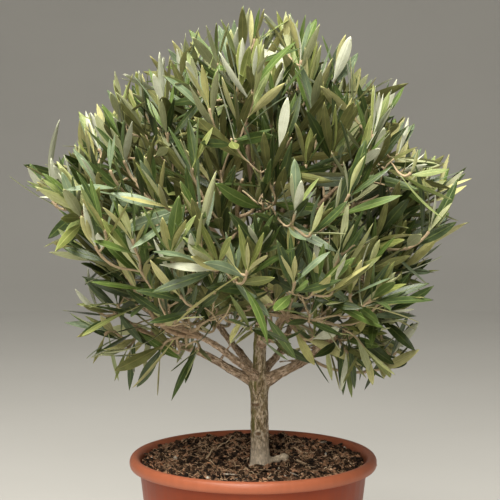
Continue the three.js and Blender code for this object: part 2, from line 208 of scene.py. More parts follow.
# Across the wall, from the middle of the inside to the middle of the underside. The rim's part
# is measured in from the rim's outside, and down from its crest.
inside = [(0, 0.003), (0.0845, 0.003), (0.1062, 0.17), (0.1074, 0.184)]
rim_roll = [
    (-0.0117, -0.0092), (-0.0106, -0.0056), (-0.0096, -0.0031), (-0.0083, -0.0013), (-0.0066, -0.0003),
    (-0.0048, 0), (-0.0031, -0.0005), (-0.0016, -0.0017), (-0.0006, -0.0033), (-0.0001, -0.0051),
    (0, -0.0069), (-0.0002, -0.0086), (-0.0006, -0.0098), (-0.0012, -0.0106), (-0.0020, -0.0110),
    (-0.0031, -0.0110), (-0.0058, -0.0108), (-0.0082, -0.0107), (-0.0091, -0.0109), (-0.0098, -0.0118),
]
outside = [
    (0.1100, 0.1905), (0.1097, 0.188), (0.1050, 0.147), (0.0985, 0.092), (0.0905, 0.022),
    (0.0893, 0.0115), (0.0889, 0.0100), (0.0884, 0.0088), (0.0878, 0.0045), (0.0871, 0.0020),
    (0.0858, 0.0006), (0.0842, 0), (0, 0),
]
section = np.array(inside + [(rim_radius + r, rim_height + z) for r, z in rim_roll] + outside)


def ring_faces(rings, sides, is_turned_over=False):
    """Quads between rings of points, and triangles that close both ends on the two last points."""
    ids = np.arange(rings * sides).reshape(rings, sides)
    after = np.roll(ids, -1, 1)
    quads = np.stack([ids[:-1], ids[1:], after[1:], after[:-1]], -1).reshape(-1, 4)
    triangles = np.concatenate([
        np.stack([np.full(sides, ids.size), ids[0], after[0]], 1),
        np.stack([np.full(sides, ids.size + 1), after[-1], ids[-1]], 1),
    ])
    if is_turned_over:
        return quads[:, [0, 3, 2, 1]], triangles[:, [0, 2, 1]]
    return quads, triangles


def around(sides):
    """Evenly spaced angles, once round."""
    return np.linspace(0, 2 * np.pi, sides, endpoint=False)


# The section is turned about the upright axis, and closed in the middle at both its ends.
turns = around(pot_sides)
pot_points = np.zeros((len(section) - 2, pot_sides, 3))
pot_points[..., :2] = section[1:-1, 0, None, None] * np.stack([np.cos(turns), np.sin(turns)], 1)
pot_points[..., 2] = section[1:-1, 1, None]
middles = [(0, 0, section[0, 1]), (0, 0, section[-1, 1])]
pot_points = np.concatenate([pot_points.reshape(-1, 3), middles])
# The moulding's split leaves a small raised lip, with a nick above it, on the right of the rim.
lip_turn, lip_width, outer_face = np.radians(-4), 0.0022, 0.1165
lip_drop, lip_out = 0.0100, 0.0009  # under the crest, and how far it stands out
nick_drop, nick_in = 0.0066, 0.0008
lip_tall = 0.0014
turned = np.arctan2(pot_points[:, 1], pot_points[:, 0]) - lip_turn
is_outer = np.hypot(*pot_points[:, :2].T) > outer_face
near_lip = np.exp(-((turned * rim_radius / lip_width) ** 2)) * is_outer
drop = rim_height - pot_points[:, 2]
push = (lip_out * np.exp(-(((drop - lip_drop) / lip_tall) ** 2))
        - nick_in * np.exp(-(((drop - nick_drop) / lip_tall) ** 2)))
pot_points[:, :2] *= (1 + near_lip * push / rim_radius)[:, None]

plastic, tree, shader = new_finish("terracotta-coloured plastic", Specular_IOR_Level=0.34)
place = own_place(tree)
tint = place_effect(tree, mottling, Place=place, Size=0.055, Sharpness=0.8,
                    Low=colour(0.262, 0.038, 0.006), High=colour(0.300, 0.048, 0.010))
streaks = place_effect(tree, mottling, Place=scaled(tree, place, (1, 1, 0.08)), Size=0.0075,
                       Sharpness=0.7, Low=colour(0.5, 0.5, 0.5), High=colour(0.58, 0.57, 0.56))
height = node(tree, "ShaderNodeSeparateXYZ", {0: place}).outputs[2]
# Painted light and shade: the rim takes a paler tint, as where light falls on its top, and the wall below
# keeps a deeper, darker tint, as painted shade under the rim.
on_rim = ramp(tree, height, rim_height - 0.0120, rim_height - 0.0095)
painted_rim_light = mix(tree, on_rim, tint.outputs["Colour"], colour(0.375, 0.110, 0.053))
body_colour = mix(tree, 0.55, painted_rim_light, streaks.outputs["Colour"], "OVERLAY")
level_place = scaled(tree, place, (1, 1, 0))
reach = node(tree, "ShaderNodeVectorMath", {0: level_place}, operation="LENGTH").outputs[1]
# Damp compost dust clings to the inside of the rim, thicker towards the compost.
low_on_wall = ramp(tree, height, 0.2045, 0.1945)
on_inside = maths(tree, "MULTIPLY", ramp(tree, reach, 0.1135, 0.1105),
                  ramp(tree, height, 0.1918, 0.1930))
grime = place_effect(tree, mottling, Place=place, Size=0.004, Sharpness=1.2, Low=black, High=white)
dust = maths(tree, "MULTIPLY", maths(tree, "MULTIPLY", low_on_wall, on_inside),
             maths(tree, "MULTIPLY_ADD", grime.outputs["Mask"], 0.5, 0.4))
skin = maths(tree, "MULTIPLY", soft_noise(tree, place, 900.0, 3.0), 0.5)
feed(tree, shader, {
    "Base Color": mix(tree, dust, body_colour, colour(0.085, 0.034, 0.018)),
    "Roughness": maths(tree, "MULTIPLY_ADD", streaks.outputs["Mask"], 0.09,
                       maths(tree, "MULTIPLY_ADD", dust, 0.35, 0.38)),
    "Normal": bump(tree, 0.18, 0.0003, maths(tree, "MULTIPLY_ADD", streaks.outputs["Mask"], 0.5, skin)),
})

pot_faces = ring_faces(len(section) - 2, pot_sides)
pot_shell = new_piece("pot_shell", pot_points, pot_faces, [plastic])
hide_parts("pot")

# ------------------------------------------------------------------ compost
# Peat-free potting compost, pressed into the pot by hand: crumbly clods of composted bark and
# coir, with bark chips, grit, coir fibres and a few old roots on top.
compost_edge = 0.1078
compost_rings = 120
compost_sides = 480
skirt_height = 0.17
rise_at_back, fall_at_right = 0.0022, 0.0006  # over each 0.1 m
trunk_place = (0.0066, -0.002)  # where the trunk stands in the compost
trunk_clear = 0.0108  # from its middle, kept free of loose crumbs
compost_levels = np.array([  # reach from the middle, height
    (0, 0.1955), (0.010, 0.1950), (0.022, 0.1950), (0.045, 0.1966), (0.075, 0.1988), (0.100, 0.1996),
    (0.108, 0.1975),
])
mounds = (  # x, y, how wide, how tall; a hollow is below 0
    (-0.048, -0.052, 0.024, 0.0034), (-0.022, -0.062, 0.018, 0.0018), (0.010, -0.036, 0.014, 0.0022),
    (0.034, 0.012, 0.020, 0.0012), (-0.0095, 0.006, 0.0070, -0.0065), (0.022, 0.058, 0.010, -0.0050),
    (-0.030, -0.022, 0.010, -0.0040), (0.060, -0.045, 0.018, 0.0014), (-0.070, 0.030, 0.020, 0.0012),
    (0.0260, -0.0240, 0.0120, 0.0016), (-0.0360, 0.0050, 0.0100, -0.0030),
)


def voronoi_height(x, y, size, seed):
    distances, _ = noise.voronoi(Vector((x / size, y / size, seed)))
    return distances[0]


def compost_height(x, y):
    """The compost's surface, in metres above the ground."""
    reach = math.hypot(x, y)
    level = np.interp(reach, *compost_levels.T)
    level += rise_at_back * y / 0.1 - fall_at_right * x / 0.1
    for mound_x, mound_y, wide, tall in mounds:
        level += tall * math.exp(-((x - mound_x) ** 2 + (y - mound_y) ** 2) / wide**2)
    calm = 0.45 + 0.55 * min(1, max(0, (0.106 - reach) / 0.008))  # smoother at the wall
    clods = (0.0058 * (0.42 - voronoi_height(x, y, 0.0150, 3.1))
             + 0.0030 * (0.4 - voronoi_height(x, y, 0.0052, 8.4)))
    grains = (0.0018 * noise.noise(Vector((x, y, 0.01)) * 380)
              + 0.0028 * noise.noise(Vector((x, y, 0.5)) * 95))
    return level + calm * (clods + grains)


turns = around(compost_sides)
radii = compost_edge * (np.arange(1, compost_rings + 1) / compost_rings)
ground = np.array([
    (r * math.cos(a), r * math.sin(a), compost_height(r * math.cos(a), r * math.sin(a)))
    for r in radii for a in turns
])
# Its skirt follows the inside of the wall down a little way, and is closed underneath.
skirt = ground[-compost_sides:] * (0.985, 0.985, 1)
skirt[:, 2] = skirt_height
ground = np.concatenate([ground, skirt, [(0, 0, compost_height(0, 0)), (0, 0, skirt_height)]])


def earth(name, dark, light):
    """Damp crumbs of one kind, darker in their pores."""
    material, tree, shader = new_finish(name, Roughness=0.92, Specular_IOR_Level=0.25)
    place = own_place(tree)
    patch_size = 0.0035
    tint = place_effect(tree, mottling, Place=place, Size=patch_size, Sharpness=1.3, Low=dark, High=light)
    fleck = place_effect(tree, mottling, Place=place, Size=patch_size * 4, Sharpness=1.0,
                         Low=colour(0.55, 0.54, 0.53), High=colour(1.30, 1.28, 1.25))
    feed(tree, shader, {
        "Base Color": mix(tree, 1.0, tint.outputs["Colour"], fleck.outputs["Colour"], "MULTIPLY"),
        "Normal": bump(tree, 0.8, 0.0008, soft_noise(tree, place, 1100.0, 4.0, 0.7)),
    })
    return material


dark_earth = earth("damp dark compost", colour(0.007, 0.0035, 0.002), colour(0.058, 0.032, 0.018))
brown_earth = earth("brown compost crumbs", colour(0.125, 0.064, 0.036), colour(0.43, 0.245, 0.150))
russet_earth = earth("russet bark crumbs", colour(0.23, 0.105, 0.056), colour(0.52, 0.280, 0.155))
tan_earth = earth("tan coir crumbs", colour(0.40, 0.265, 0.170), colour(0.80, 0.59, 0.42))
bed_faces = ring_faces(compost_rings + 1, compost_sides)
bed = new_piece("compost_bed", ground, bed_faces, [dark_earth])
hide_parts("soil")

gold = (1 + 5**0.5) / 2
crumb_corners = np.array([
    (-1, gold, 0), (1, gold, 0), (-1, -gold, 0), (1, -gold, 0), (0, -1, gold), (0, 1, gold),
    (0, -1, -gold), (0, 1, -gold), (gold, 0, -1), (gold, 0, 1), (-gold, 0, -1), (-gold, 0, 1),
]) / math.hypot(1, gold)
crumb_faces = np.array([
    (0, 11, 5), (0, 5, 1), (0, 1, 7), (0, 7, 10), (0, 10, 11), (1, 5, 9), (5, 11, 4), (11, 10, 2),
    (10, 7, 6), (7, 1, 8), (3, 9, 4), (3, 4, 2), (3, 2, 6), (3, 6, 8), (3, 8, 9), (4, 9, 5), (2, 4, 11),
    (6, 2, 10), (8, 6, 7), (9, 8, 1),
])


def random_turns(chance, count):
    """Rotation matrices in all directions, from unit quaternions."""
    a, b, c, d = chance.normal(size=(4, count))
    size = np.sqrt(a * a + b * b + c * c + d * d)
    a, b, c, d = a / size, b / size, c / size, d / size
    return np.stack([
        np.stack([1 - 2 * (c * c + d * d), 2 * (b * c - a * d), 2 * (b * d + a * c)], -1),
        np.stack([2 * (b * c + a * d), 1 - 2 * (b * b + d * d), 2 * (c * d - a * b)], -1),
        np.stack([2 * (b * d - a * c), 2 * (c * d + a * b), 1 - 2 * (b * b + c * c)], -1),
    ], -2)


def on_compost(chance, count, edge=0.1045):
    """Random places on the compost, clear of the trunk, with the height there."""
    spots = []
    while len(spots) < count:
        reach = edge * math.sqrt(chance.random())
        turn = 2 * math.pi * chance.random()
        x, y = reach * math.cos(turn), reach * math.sin(turn)
        if math.hypot(x - trunk_place[0], y - trunk_place[1]) > trunk_clear:
            spots.append((x, y, compost_height(x, y)))
    return np.array(spots)


def lying_turns(chance, count, tilt):
    """Rotation matrices about the upright, with a little tilt."""
    heading = chance.uniform(0, 2 * np.pi, count)
    up = np.stack([chance.normal(0, tilt, count), chance.normal(0, tilt, count), np.ones(count)], 1)
    up = up / np.linalg.norm(up, axis=1, keepdims=True)
    ahead = np.cross(np.stack([-np.sin(heading), np.cos(heading), 0 * heading], 1), up)
    ahead = ahead / np.linalg.norm(ahead, axis=1, keepdims=True)
    return np.stack([ahead, np.cross(up, ahead), up], -1)


def crumbs(name, spots, sizes, finish, seed, squash=0.75, lift=0.15, stretch=1.0, tilt=None):
    """Angular crumbs of the given radii, half sunk at the given spots. With a tilt they lie flat."""
    chance = np.random.default_rng(seed)
    count = len(spots)
    corners = crumb_corners * chance.uniform(0.68, 1.28, (count, 12, 1))
    form = np.stack([
        chance.uniform(0.8, 1.35, count) * stretch, chance.uniform(0.75, 1.1, count),
        chance.uniform(squash * 0.7, squash * 1.15, count),
    ], 1)
    corners = corners * (form * sizes[:, None])[:, None]
    turns = random_turns(chance, count) if tilt is None else lying_turns(chance, count, tilt)
    corners = np.einsum("nij,nkj->nki", turns, corners)
    corners += (spots + np.stack([0 * sizes, 0 * sizes, lift * sizes], 1))[:, None]
    faces = (crumb_faces + 12 * np.arange(count)[:, None, None]).reshape(-1, 3)
    return new_piece(name, corners.reshape(-1, 3), [faces], [finish], is_smooth=False)


chance = np.random.default_rng(41)
lying_flat = {"squash": 0.30, "lift": 0.35, "stretch": 1.7, "tilt": 0.38}
# Count, least and most radius, how much commoner the small ones are, finish, and how they lie.
for name, count, least, most, smallness, finish, lie in (
    ("compost_crumbs_dark", 3600, 0.0008, 0.0042, 2.6, dark_earth, {}),
    ("compost_crumbs_brown", 3600, 0.0006, 0.0031, 2.6, brown_earth, {}),
    ("compost_crumbs_russet", 1000, 0.0005, 0.0019, 2.6, russet_earth, {}),
    ("compost_crumbs_tan", 900, 0.0004, 0.0017, 2.6, tan_earth, {}),
    ("compost_flakes_dark", 1500, 0.0009, 0.0034, 2.2, dark_earth, lying_flat),
    ("compost_flakes_brown", 2600, 0.0008, 0.0030, 2.2, brown_earth, lying_flat),
    ("compost_flakes_russet", 900, 0.0007, 0.0024, 2.2, russet_earth, lying_flat),
    ("compost_flakes_tan", 1100, 0.0006, 0.0023, 2.2, tan_earth, lying_flat),
):
    sizes = least + (most - least) * chance.random(count) ** smallness
    crumbs(name, on_compost(chance, count), sizes, finish, count, **lie)
# Some crumbs lie against the foot of the trunk.
foot_count = 260
foot_turns = chance.uniform(0, 2 * np.pi, foot_count)
foot_reach = chance.uniform(0.0100, 0.0145, foot_count)
foot_spots = trunk_place + foot_reach[:, None] * np.stack([np.cos(foot_turns), np.sin(foot_turns)], 1)
foot_spots = np.array([(x, y, compost_height(x, y) + 0.0006) for x, y in foot_spots])
crumbs("compost_crumbs_at_foot", foot_spots, chance.uniform(0.0007, 0.0022, foot_count), brown_earth, 9)

grit_white, tree, shader = new_finish("white perlite grit", Roughness=0.8)
place = own_place(tree)
tint = place_effect(tree, mottling, Place=place, Size=0.0012, Sharpness=1.0,
                    Low=colour(0.50, 0.45, 0.38), High=colour(0.80, 0.77, 0.70))
feed(tree, shader, {"Base Color": tint.outputs["Colour"]})
large_grit = [
    (-0.0851, 0.0312), (0.0511, 0.0629), (0.0919, 0.0480), (0.0711, 0.0240), (0.0952, 0.0014),
    (-0.0985, 0.0014), (-0.0754, -0.0055), (0.0298, -0.0622), (-0.0535, 0.0610), (0.0340, -0.0550),
    (-0.0420, -0.0780),
]
large_grit_radius, small_grit_count = 0.0019, 90
grit_spots = np.concatenate([
    [(x, y, compost_height(x, y) + 0.0006) for x, y in large_grit], on_compost(chance, small_grit_count),
])
grit_sizes = np.concatenate([
    np.full(len(large_grit), large_grit_radius), chance.uniform(0.0004, 0.0009, small_grit_count),
])
crumbs("compost_grit", grit_spots, grit_sizes, grit_white, 77, squash=0.9, lift=0.5)

# Thin blades, flat or bent: chips of bark here, and the leaves further on.
blade_rings = np.array([0.0, 0.035, 0.085, 0.16, 0.26, 0.38, 0.5, 0.62, 0.74, 0.85, 0.94])
# Round each ring: over the upper side first, then back along the lower.
ring_across = np.array([-1, -0.5, 0, 0.5, 1, 0.5, 0, -0.5])
ring_side = np.array([0, 1, 1, 1, 0, -1, -1, -1])


def blades(root, along, face, length, half_width, thickness, arch=0, twist=0, sickle=0, fold=0, roll=0):
    """Points, quads and triangles of many closed thin blades, each from its root along its length.

    half_width and thickness are arrays of one row a blade and one column a ring. arch bends the
    blade back from its face, twist turns it about its length, and sickle bends it sideways, all in
    radians over the whole length. fold lifts both halves from the midrib, and roll turns the
    margins down, as shares of the half width.
    """
    count = len(root)

    def column(value):
        return np.broadcast_to(np.asarray(value, float).reshape(-1, 1), (count, 1))

    share = blade_rings[None, :]
    across = np.cross(face, along)
    bend = column(arch) + 1e-6
    side_bend = column(sickle)
    length = column(length)
    ahead = length * np.sin(bend * share) / bend
    back = length * (1 - np.cos(bend * share)) / bend
    aside = length * side_bend * share**2 / 2

    def mixed(a, b, c):
        return (a[..., None] * along[:, None] + b[..., None] * across[:, None]
                + c[..., None] * face[:, None])

    middle = root[:, None] + mixed(ahead, aside, -back)
    upward = mixed(np.sin(bend * share), 0 * share * bend, np.cos(bend * share))
    sideways = np.broadcast_to(across[:, None], upward.shape)
    turn = (column(twist) * share)[..., None]
    sideways, upward = (np.cos(turn) * sideways + np.sin(turn) * upward,
                        np.cos(turn) * upward - np.sin(turn) * sideways)
    t = ring_across
    lift = half_width[..., None] * (column(fold)[..., None] * (np.abs(t) - 0.5)
                                    - column(roll)[..., None] * t**4)
    lift = lift + thickness[..., None] * 0.5 * ring_side * (1.15 - 0.55 * np.abs(t))
    ring = (middle[:, :, None] + (half_width[..., None] * t)[..., None] * sideways[:, :, None]
            + lift[..., None] * upward[:, :, None])
    last = root + along * (length * np.sin(bend) / bend) - face * (length * (1 - np.cos(bend)) / bend)
    tip = last + across * (length * side_bend / 2)
    points = np.concatenate([ring.reshape(count, -1, 3), root[:, None], tip[:, None]], 1)
    quads, triangles = ring_faces(len(blade_rings), len(ring_across), is_turned_over=True)
    offset = points.shape[1] * np.arange(count)[:, None, None]
    return points.reshape(-1, 3), (quads + offset).reshape(-1, 4), (triangles + offset).reshape(-1, 3)


def unit(vectors):
    return vectors / np.linalg.norm(vectors, axis=-1, keepdims=True)


def chips(name, spots, lengths, headings, finish, seed):
    """Split slivers of bark that lie on the compost, some of them propped on a clod."""
    chance = np.random.default_rng(seed)
    count = len(spots)
    tilt = chance.normal(0, 0.16, count)
    along = np.stack([np.cos(headings) * np.cos(tilt), np.sin(headings) * np.cos(tilt), np.sin(tilt)], 1)
    face = unit(np.cross(along, np.cross([(0, 0, 1)], along)) + 0.3 * chance.normal(size=(count, 3)))
    face = unit(face - along * np.sum(face * along, 1, keepdims=True))
    shape = np.interp(blade_rings, (0, 0.035, 0.2, 0.7, 0.94), (0.35, 0.6, 1, 0.9, 0.4))
    ragged = chance.uniform(0.78, 1.15, (count, len(blade_rings)))
    half_width = shape * ragged * (lengths * 0.22 * chance.uniform(0.6, 1.2, count) / 2)[:, None]
    thickness = np.full_like(half_width, 1) * (lengths * 0.07)[:, None]
    root = spots - along * (lengths / 2)[:, None] + [(0, 0, 0.0008)]
    points, quads, triangles = blades(
        root, along, face, lengths, half_width, thickness, arch=chance.normal(0, 0.25, count),
        twist=chance.normal(0, 0.3, count), sickle=chance.normal(0, 0.2, count), roll=0.1)
    return new_piece(name, points, [quads, triangles], [finish])


def chip_wood(name, dark, light):
    material, tree, shader = new_finish(name, Roughness=0.85, Specular_IOR_Level=0.3)
    place = own_place(tree)
    tint = place_effect(tree, mottling, Place=place, Size=0.0022, Sharpness=1.2, Low=dark, High=light)
    feed(tree, shader, {
        "Base Color": tint.outputs["Colour"], "Normal": bump(tree, 0.5, 0.0004, tint.outputs["Mask"]),
    })
    return material


tan_chip = chip_wood("weathered tan bark chip", colour(0.27, 0.175, 0.105), colour(0.55, 0.40, 0.27))
grey_chip = chip_wood("grey bark chip", colour(0.20, 0.16, 0.125), colour(0.48, 0.42, 0.34))
russet_chip = chip_wood("russet bark chip", colour(0.22, 0.075, 0.030), colour(0.46, 0.19, 0.085))
# The large ones lie where they fell: x, y, length, heading in degrees. Small ones are strewn.
small_chip_count = 170
large_chips = {
    "compost_chips_tan": (tan_chip, [
        (0.0495, -0.0215, 0.034, -64), (0.0120, -0.0400, 0.014, 20), (-0.0600, 0.0300, 0.013, 40),
        (0.0620, 0.0330, 0.012, -20), (0.0820, -0.0120, 0.011, 70), (-0.0120, 0.0800, 0.012, 10),
    ]),
    "compost_chips_grey": (grey_chip, [
        (-0.0222, -0.0740, 0.0150, 8), (-0.0245, -0.0866, 0.0090, -10), (-0.0130, -0.0790, 0.0100, 12),
        (-0.0780, -0.0250, 0.0120, -40), (0.0150, -0.0700, 0.0110, 35), (0.0400, -0.0600, 0.0120, -15),
        (0.0700, 0.0620, 0.0100, 30),
    ]),
    "compost_chips_russet": (russet_chip, [
        (-0.0540, 0.0880, 0.0200, 14), (-0.0399, 0.0850, 0.0080, 70), (0.0300, -0.0780, 0.0120, 50),
        (-0.0880, -0.0200, 0.0110, 100), (0.0880, 0.0300, 0.0100, 80),
    ]),
}
for seed, (name, (finish, placed)) in enumerate(large_chips.items()):
    small_spots = on_compost(chance, small_chip_count) + (0, 0, 0.0006)
    large_spots = [(x, y, compost_height(x, y) + 0.0026) for x, y, _, _ in placed]
    spots = np.concatenate([large_spots, small_spots])
    small_lengths = 0.0028 + 0.0055 * chance.random(small_chip_count) ** 2
    lengths = np.concatenate([[row[2] for row in placed], small_lengths])
    small_headings = chance.uniform(0, 2 * np.pi, small_chip_count)
    headings = np.concatenate([np.radians([row[3] for row in placed]), small_headings])
    chips(name, spots, lengths, headings, finish, 300 + seed)


def frames_along(line):
    """The direction of a line at each of its points, and two directions square to it."""
    ahead = unit(np.gradient(line, axis=0))
    side = np.empty_like(ahead)
    kept = np.cross(ahead[0], (0.31, 0.87, 0.38))
    for i, way in enumerate(ahead):
        kept = kept - way * kept.dot(way)
        kept = kept / np.linalg.norm(kept)
        side[i] = kept
    return ahead, side, np.cross(ahead, side)


def tube(line, radii, sides):
    """Points, quads and triangles of a closed tube. radii goes by point, or by point and side."""
    ahead, side, other = frames_along(line)
    turns = around(sides)
    ring = np.cos(turns)[None, :, None] * side[:, None] + np.sin(turns)[None, :, None] * other[:, None]
    radii = np.broadcast_to(np.reshape(radii, (len(line), -1)), (len(line), sides))
    body = line[:, None] + ring * radii[..., None]
    ends = [line[0], line[-1] + ahead[-1] * radii[-1].mean() * 0.7]
    quads, triangles = ring_faces(len(line), sides, is_turned_over=True)
    return np.concatenate([body.reshape(-1, 3), ends]), quads, triangles


def joined(parts):
    """Many (points, quads, triangles) as one."""
    offsets = np.cumsum([0] + [len(points) for points, _, _ in parts[:-1]])
    return (np.concatenate([points for points, _, _ in parts]),
            np.concatenate([quads + o for (_, quads, _), o in zip(parts, offsets)]),
            np.concatenate([triangles + o for (_, _, triangles), o in zip(parts, offsets)]))


def spaced(line, count):
    """The line with its points spaced evenly."""
    steps = np.concatenate([[0], np.cumsum(np.linalg.norm(np.diff(line, axis=0), axis=1))])
    at = np.linspace(0, steps[-1], count)
    return np.stack([np.interp(at, steps, line[:, k]) for k in range(3)], 1)


def bezier(controls, count):
    """A Bezier curve as points that are spaced evenly along it."""
    share = np.linspace(0, 1, 200)[:, None]
    rows = [np.asarray(c, float)[None] + 0 * share for c in controls]
    while len(rows) > 1:
        rows = [a + (b - a) * share for a, b in zip(rows, rows[1:])]
    return spaced(rows[0], count)


def laid(path, lift):
    """A path over the compost, on its surface, as an evenly spaced line."""
    flat = bezier([(x, y, 0) for x, y in path], 26)
    flat[:, 2] = [compost_height(x, y) for x, y, _ in flat]
    flat[1:-1, 2] = np.maximum(flat[1:-1, 2], (flat[:-2, 2] + flat[2:, 2]) / 2)
    flat[:, 2] += lift
    return flat


def arched(line, height):
    """The line lifted off the compost between its ends."""
    line[:, 2] += height * np.sin(np.linspace(0, np.pi, len(line)))
    return line


fibre_count = 640
fibre_parts = []
for _ in range(fibre_count):
    x, y, _ = on_compost(chance, 1, 0.098)[0]
    heading, bend = chance.uniform(0, 2 * np.pi), chance.normal(0, 0.9)
    stretch = 0.004 + 0.015 * chance.random() ** 1.5
    middle = (x + stretch * math.cos(heading), y + stretch * math.sin(heading))
    onward = heading + bend
    end = (middle[0] + stretch * math.cos(onward), middle[1] + stretch * math.sin(onward))
    from_trunk = math.hypot(end[0] - trunk_place[0], end[1] - trunk_place[1])
    if math.hypot(*end) > 0.104 or from_trunk < 0.013:
        continue
    line = arched(laid([(x, y), middle, end], 0.0012)[::3], 0.0022 * chance.random())
    fibre_parts.append(tube(line, np.linspace(0.00042, 0.00024, len(line)), 4))
coir = chip_wood("coir fibre", colour(0.24, 0.140, 0.080), colour(0.62, 0.42, 0.26))
points, quads, triangles = joined(fibre_parts)
new_piece("compost_fibres", points, [quads, triangles], [coir])

old_roots = [  # the path, the radius, and how far it arches off the compost
    ([(-0.048, -0.004), (-0.044, 0.030), (-0.026, 0.052), (-0.018, 0.098)], 0.00085, 0.0032),
    ([(-0.046, 0.006), (-0.042, -0.010), (-0.034, -0.026)], 0.00085, 0.0018),
    ([(-0.034, -0.026), (-0.028, -0.022), (-0.024, -0.030)], 0.00060, 0.0006),
    ([(-0.026, 0.014), (-0.020, -0.006), (-0.0125, -0.027)], 0.00055, 0.0012),
    ([(0.0100, -0.073), (0.017, -0.058), (0.0255, -0.045)], 0.00055, 0.0010),
    ([(-0.070, -0.010), (-0.060, -0.028), (-0.062, -0.046)], 0.00055, 0.0010),
    ([(0.040, 0.040), (0.052, 0.026), (0.070, 0.030)], 0.00050, 0.0008),
    ([(0.058, -0.050), (0.070, -0.040), (0.080, -0.044)], 0.00050, 0.0008),
    ([(-0.012, -0.045), (0.000, -0.052), (0.010, -0.047)], 0.00055, 0.0014),
]
root_parts = []
for path, radius, arch in old_roots:
    line = arched(laid(path, radius * 0.6 + 0.0014), arch)
    line[1:-1] += chance.normal(0, 0.00012, (len(line) - 2, 3))
    radii = np.linspace(radius, radius * 0.45, len(line)) * chance.uniform(0.85, 1.2, len(line))
    root_parts.append(tube(line, radii, 7))
dry_root = chip_wood("dry pale root", colour(0.46, 0.31, 0.19), colour(0.78, 0.60, 0.41))
points, quads, triangles = joined(root_parts)
new_piece("compost_old_roots", points, [quads, triangles], [dry_root])

# ------------------------------------------------------------------ trunk and boughs
# The olive's own wood: a short straight trunk with a swelling where the lower boughs leave, a
# leader and two tiers of boughs. The young bark is thin and grey-tan, with fine upright cracks.
trunk_foot = np.array((*trunk_place, 0.1963))
trunk_tip = np.array((0.0095, 0.001, 0.366))
trunk_height = trunk_tip[2] - trunk_foot[2]
trunk_lean = 0.003
fork_height, fork_depth = 0.275, 0.007
foot_radius, fork_radius = 0.0092, 0.0086
leader_foot_radius, leader_tip_radius = 0.0067, 0.0054
crown_axis = np.array((-0.006, 0.0))

trunk_line = bezier([
    trunk_foot, trunk_foot + (0, 0, trunk_height * 0.3),
    trunk_foot + (-trunk_lean, trunk_lean / 2, trunk_height * 0.6), trunk_tip,
], 171)


def trunk_radius(share):
    height = trunk_foot[2] + trunk_height * share
    fork_share = (fork_height - trunk_foot[2]) / trunk_height
    flare = 0.0011 * np.exp((trunk_foot[2] - height) / 0.009)
    swelling = 0.0022 * np.exp(-(((height - fork_height) / fork_depth) ** 2))
    below = foot_radius + (fork_radius - foot_radius) * share / fork_share
    leader_taper = leader_tip_radius - leader_foot_radius
    above = leader_foot_radius + leader_taper * (share - fork_share) / (1 - fork_share)
    leaving = np.clip((height - fork_height) / (2 * fork_depth), 0, 1)
    leaving = leaving * leaving * (3 - 2 * leaving)
    return below + (above - below) * leaving + flare + swelling


def trunk_point(height):
    return trunk_line[int(round((height - trunk_foot[2]) / trunk_height * (len(trunk_line) - 1)))]


def outward(azimuth, climb=0):
    a, c = math.radians(azimuth), math.radians(climb)
    return np.array((math.cos(a) * math.cos(c), math.sin(a) * math.cos(c), math.sin(c)))


def around_crown(azimuth, reach, height):
    return outward(azimuth) * reach + (crown_axis[0], crown_axis[1], height)


# name, azimuth, leaves the trunk at, rise, reach, ends at, radius, tip radius
boughs = [
    ("right", -6, 0.275, 24, 0.082, 0.317, 0.0047, 0.0033),
    ("back_right", 54, 0.283, 28, 0.076, 0.327, 0.0036, 0.0027),
    ("back_left", 116, 0.279, 30, 0.076, 0.326, 0.0038, 0.0028),
    ("left", 176, 0.274, 30, 0.084, 0.317, 0.0039, 0.0029),
    ("front_left", 231, 0.276, 40, 0.076, 0.331, 0.0037, 0.0027),
    ("front_right", 300, 0.313, 28, 0.066, 0.345, 0.0032, 0.0025),
    ("upper_front", 268, 0.334, 52, 0.046, 0.408, 0.0034, 0.0025),
    ("upper_right", 340, 0.344, 48, 0.052, 0.412, 0.0035, 0.0026),
    ("upper_back_right", 52, 0.337, 52, 0.048, 0.410, 0.0034, 0.0025),
    ("upper_back_left", 124, 0.346, 52, 0.050, 0.412, 0.0034, 0.0025),
    ("upper_left", 196, 0.340, 48, 0.054, 0.408, 0.0035, 0.0026),
]
wood_grain = np.random.default_rng(5)


def wobbled(line, amount, bends):
    """The line with slow sideways bends, held at both its ends."""
    share = np.linspace(0, 1, len(line))[:, None]
    return line + sum(wood_grain.normal(0, amount / k, 3) * np.sin(np.pi * k * share)
                      for k in range(1, bends + 1))


def with_knuckles(radii, along, places, rise, width):
    """The radii with low rings where leaves once stood."""
    for at in places:
        radii = radii + rise * np.exp(-(((along - at) / width) ** 2))
    return radii


limb_points = 90
limbs = []  # (line, radii, name); the trunk first
below_ground = trunk_foot + np.array([(0, 0, -0.012 + 0.001 * k) for k in range(12)])
whole_trunk = np.concatenate([below_ground, trunk_line])
shares = (whole_trunk[:, 2] - trunk_foot[2]) / trunk_height
limbs.append((whole_trunk, trunk_radius(np.clip(shares, -0.005, 1)), "trunk"))
bough_tips = {}
for name, azimuth, leaves_at, rise, reach, ends, radius, tip_radius in boughs:
    start = trunk_point(leaves_at)
    end = around_crown(azimuth, reach, ends)
    span = np.linalg.norm(end - start)
    line = bezier([start, start + outward(azimuth, rise) * span * 0.55, end], limb_points)
    bough_tips[name] = (line[-1], unit(line[-1] - line[-3]), tip_radius)
    line = wobbled(line, 0.0009, 4)
    far = np.linspace(0, span, limb_points)
    collar = 1 + 0.55 * np.exp(-((far / 0.0155) ** 2))
    radii = np.linspace(radius * 1.12, tip_radius, limb_points) * collar
    knuckles = np.arange(0.024 + 0.008 * wood_grain.random(), span, 0.017)
    limbs.append((line, with_knuckles(radii, far, knuckles, 0.00045, 0.0016), name))
away = unit(trunk_line[-1] - trunk_line[-4])
leader_start = trunk_tip + away * 0.0003
leader_end = around_crown(0, 0.008, 0.455)
leader_bend = leader_start + away * np.linalg.norm(leader_end - leader_start) * 0.5
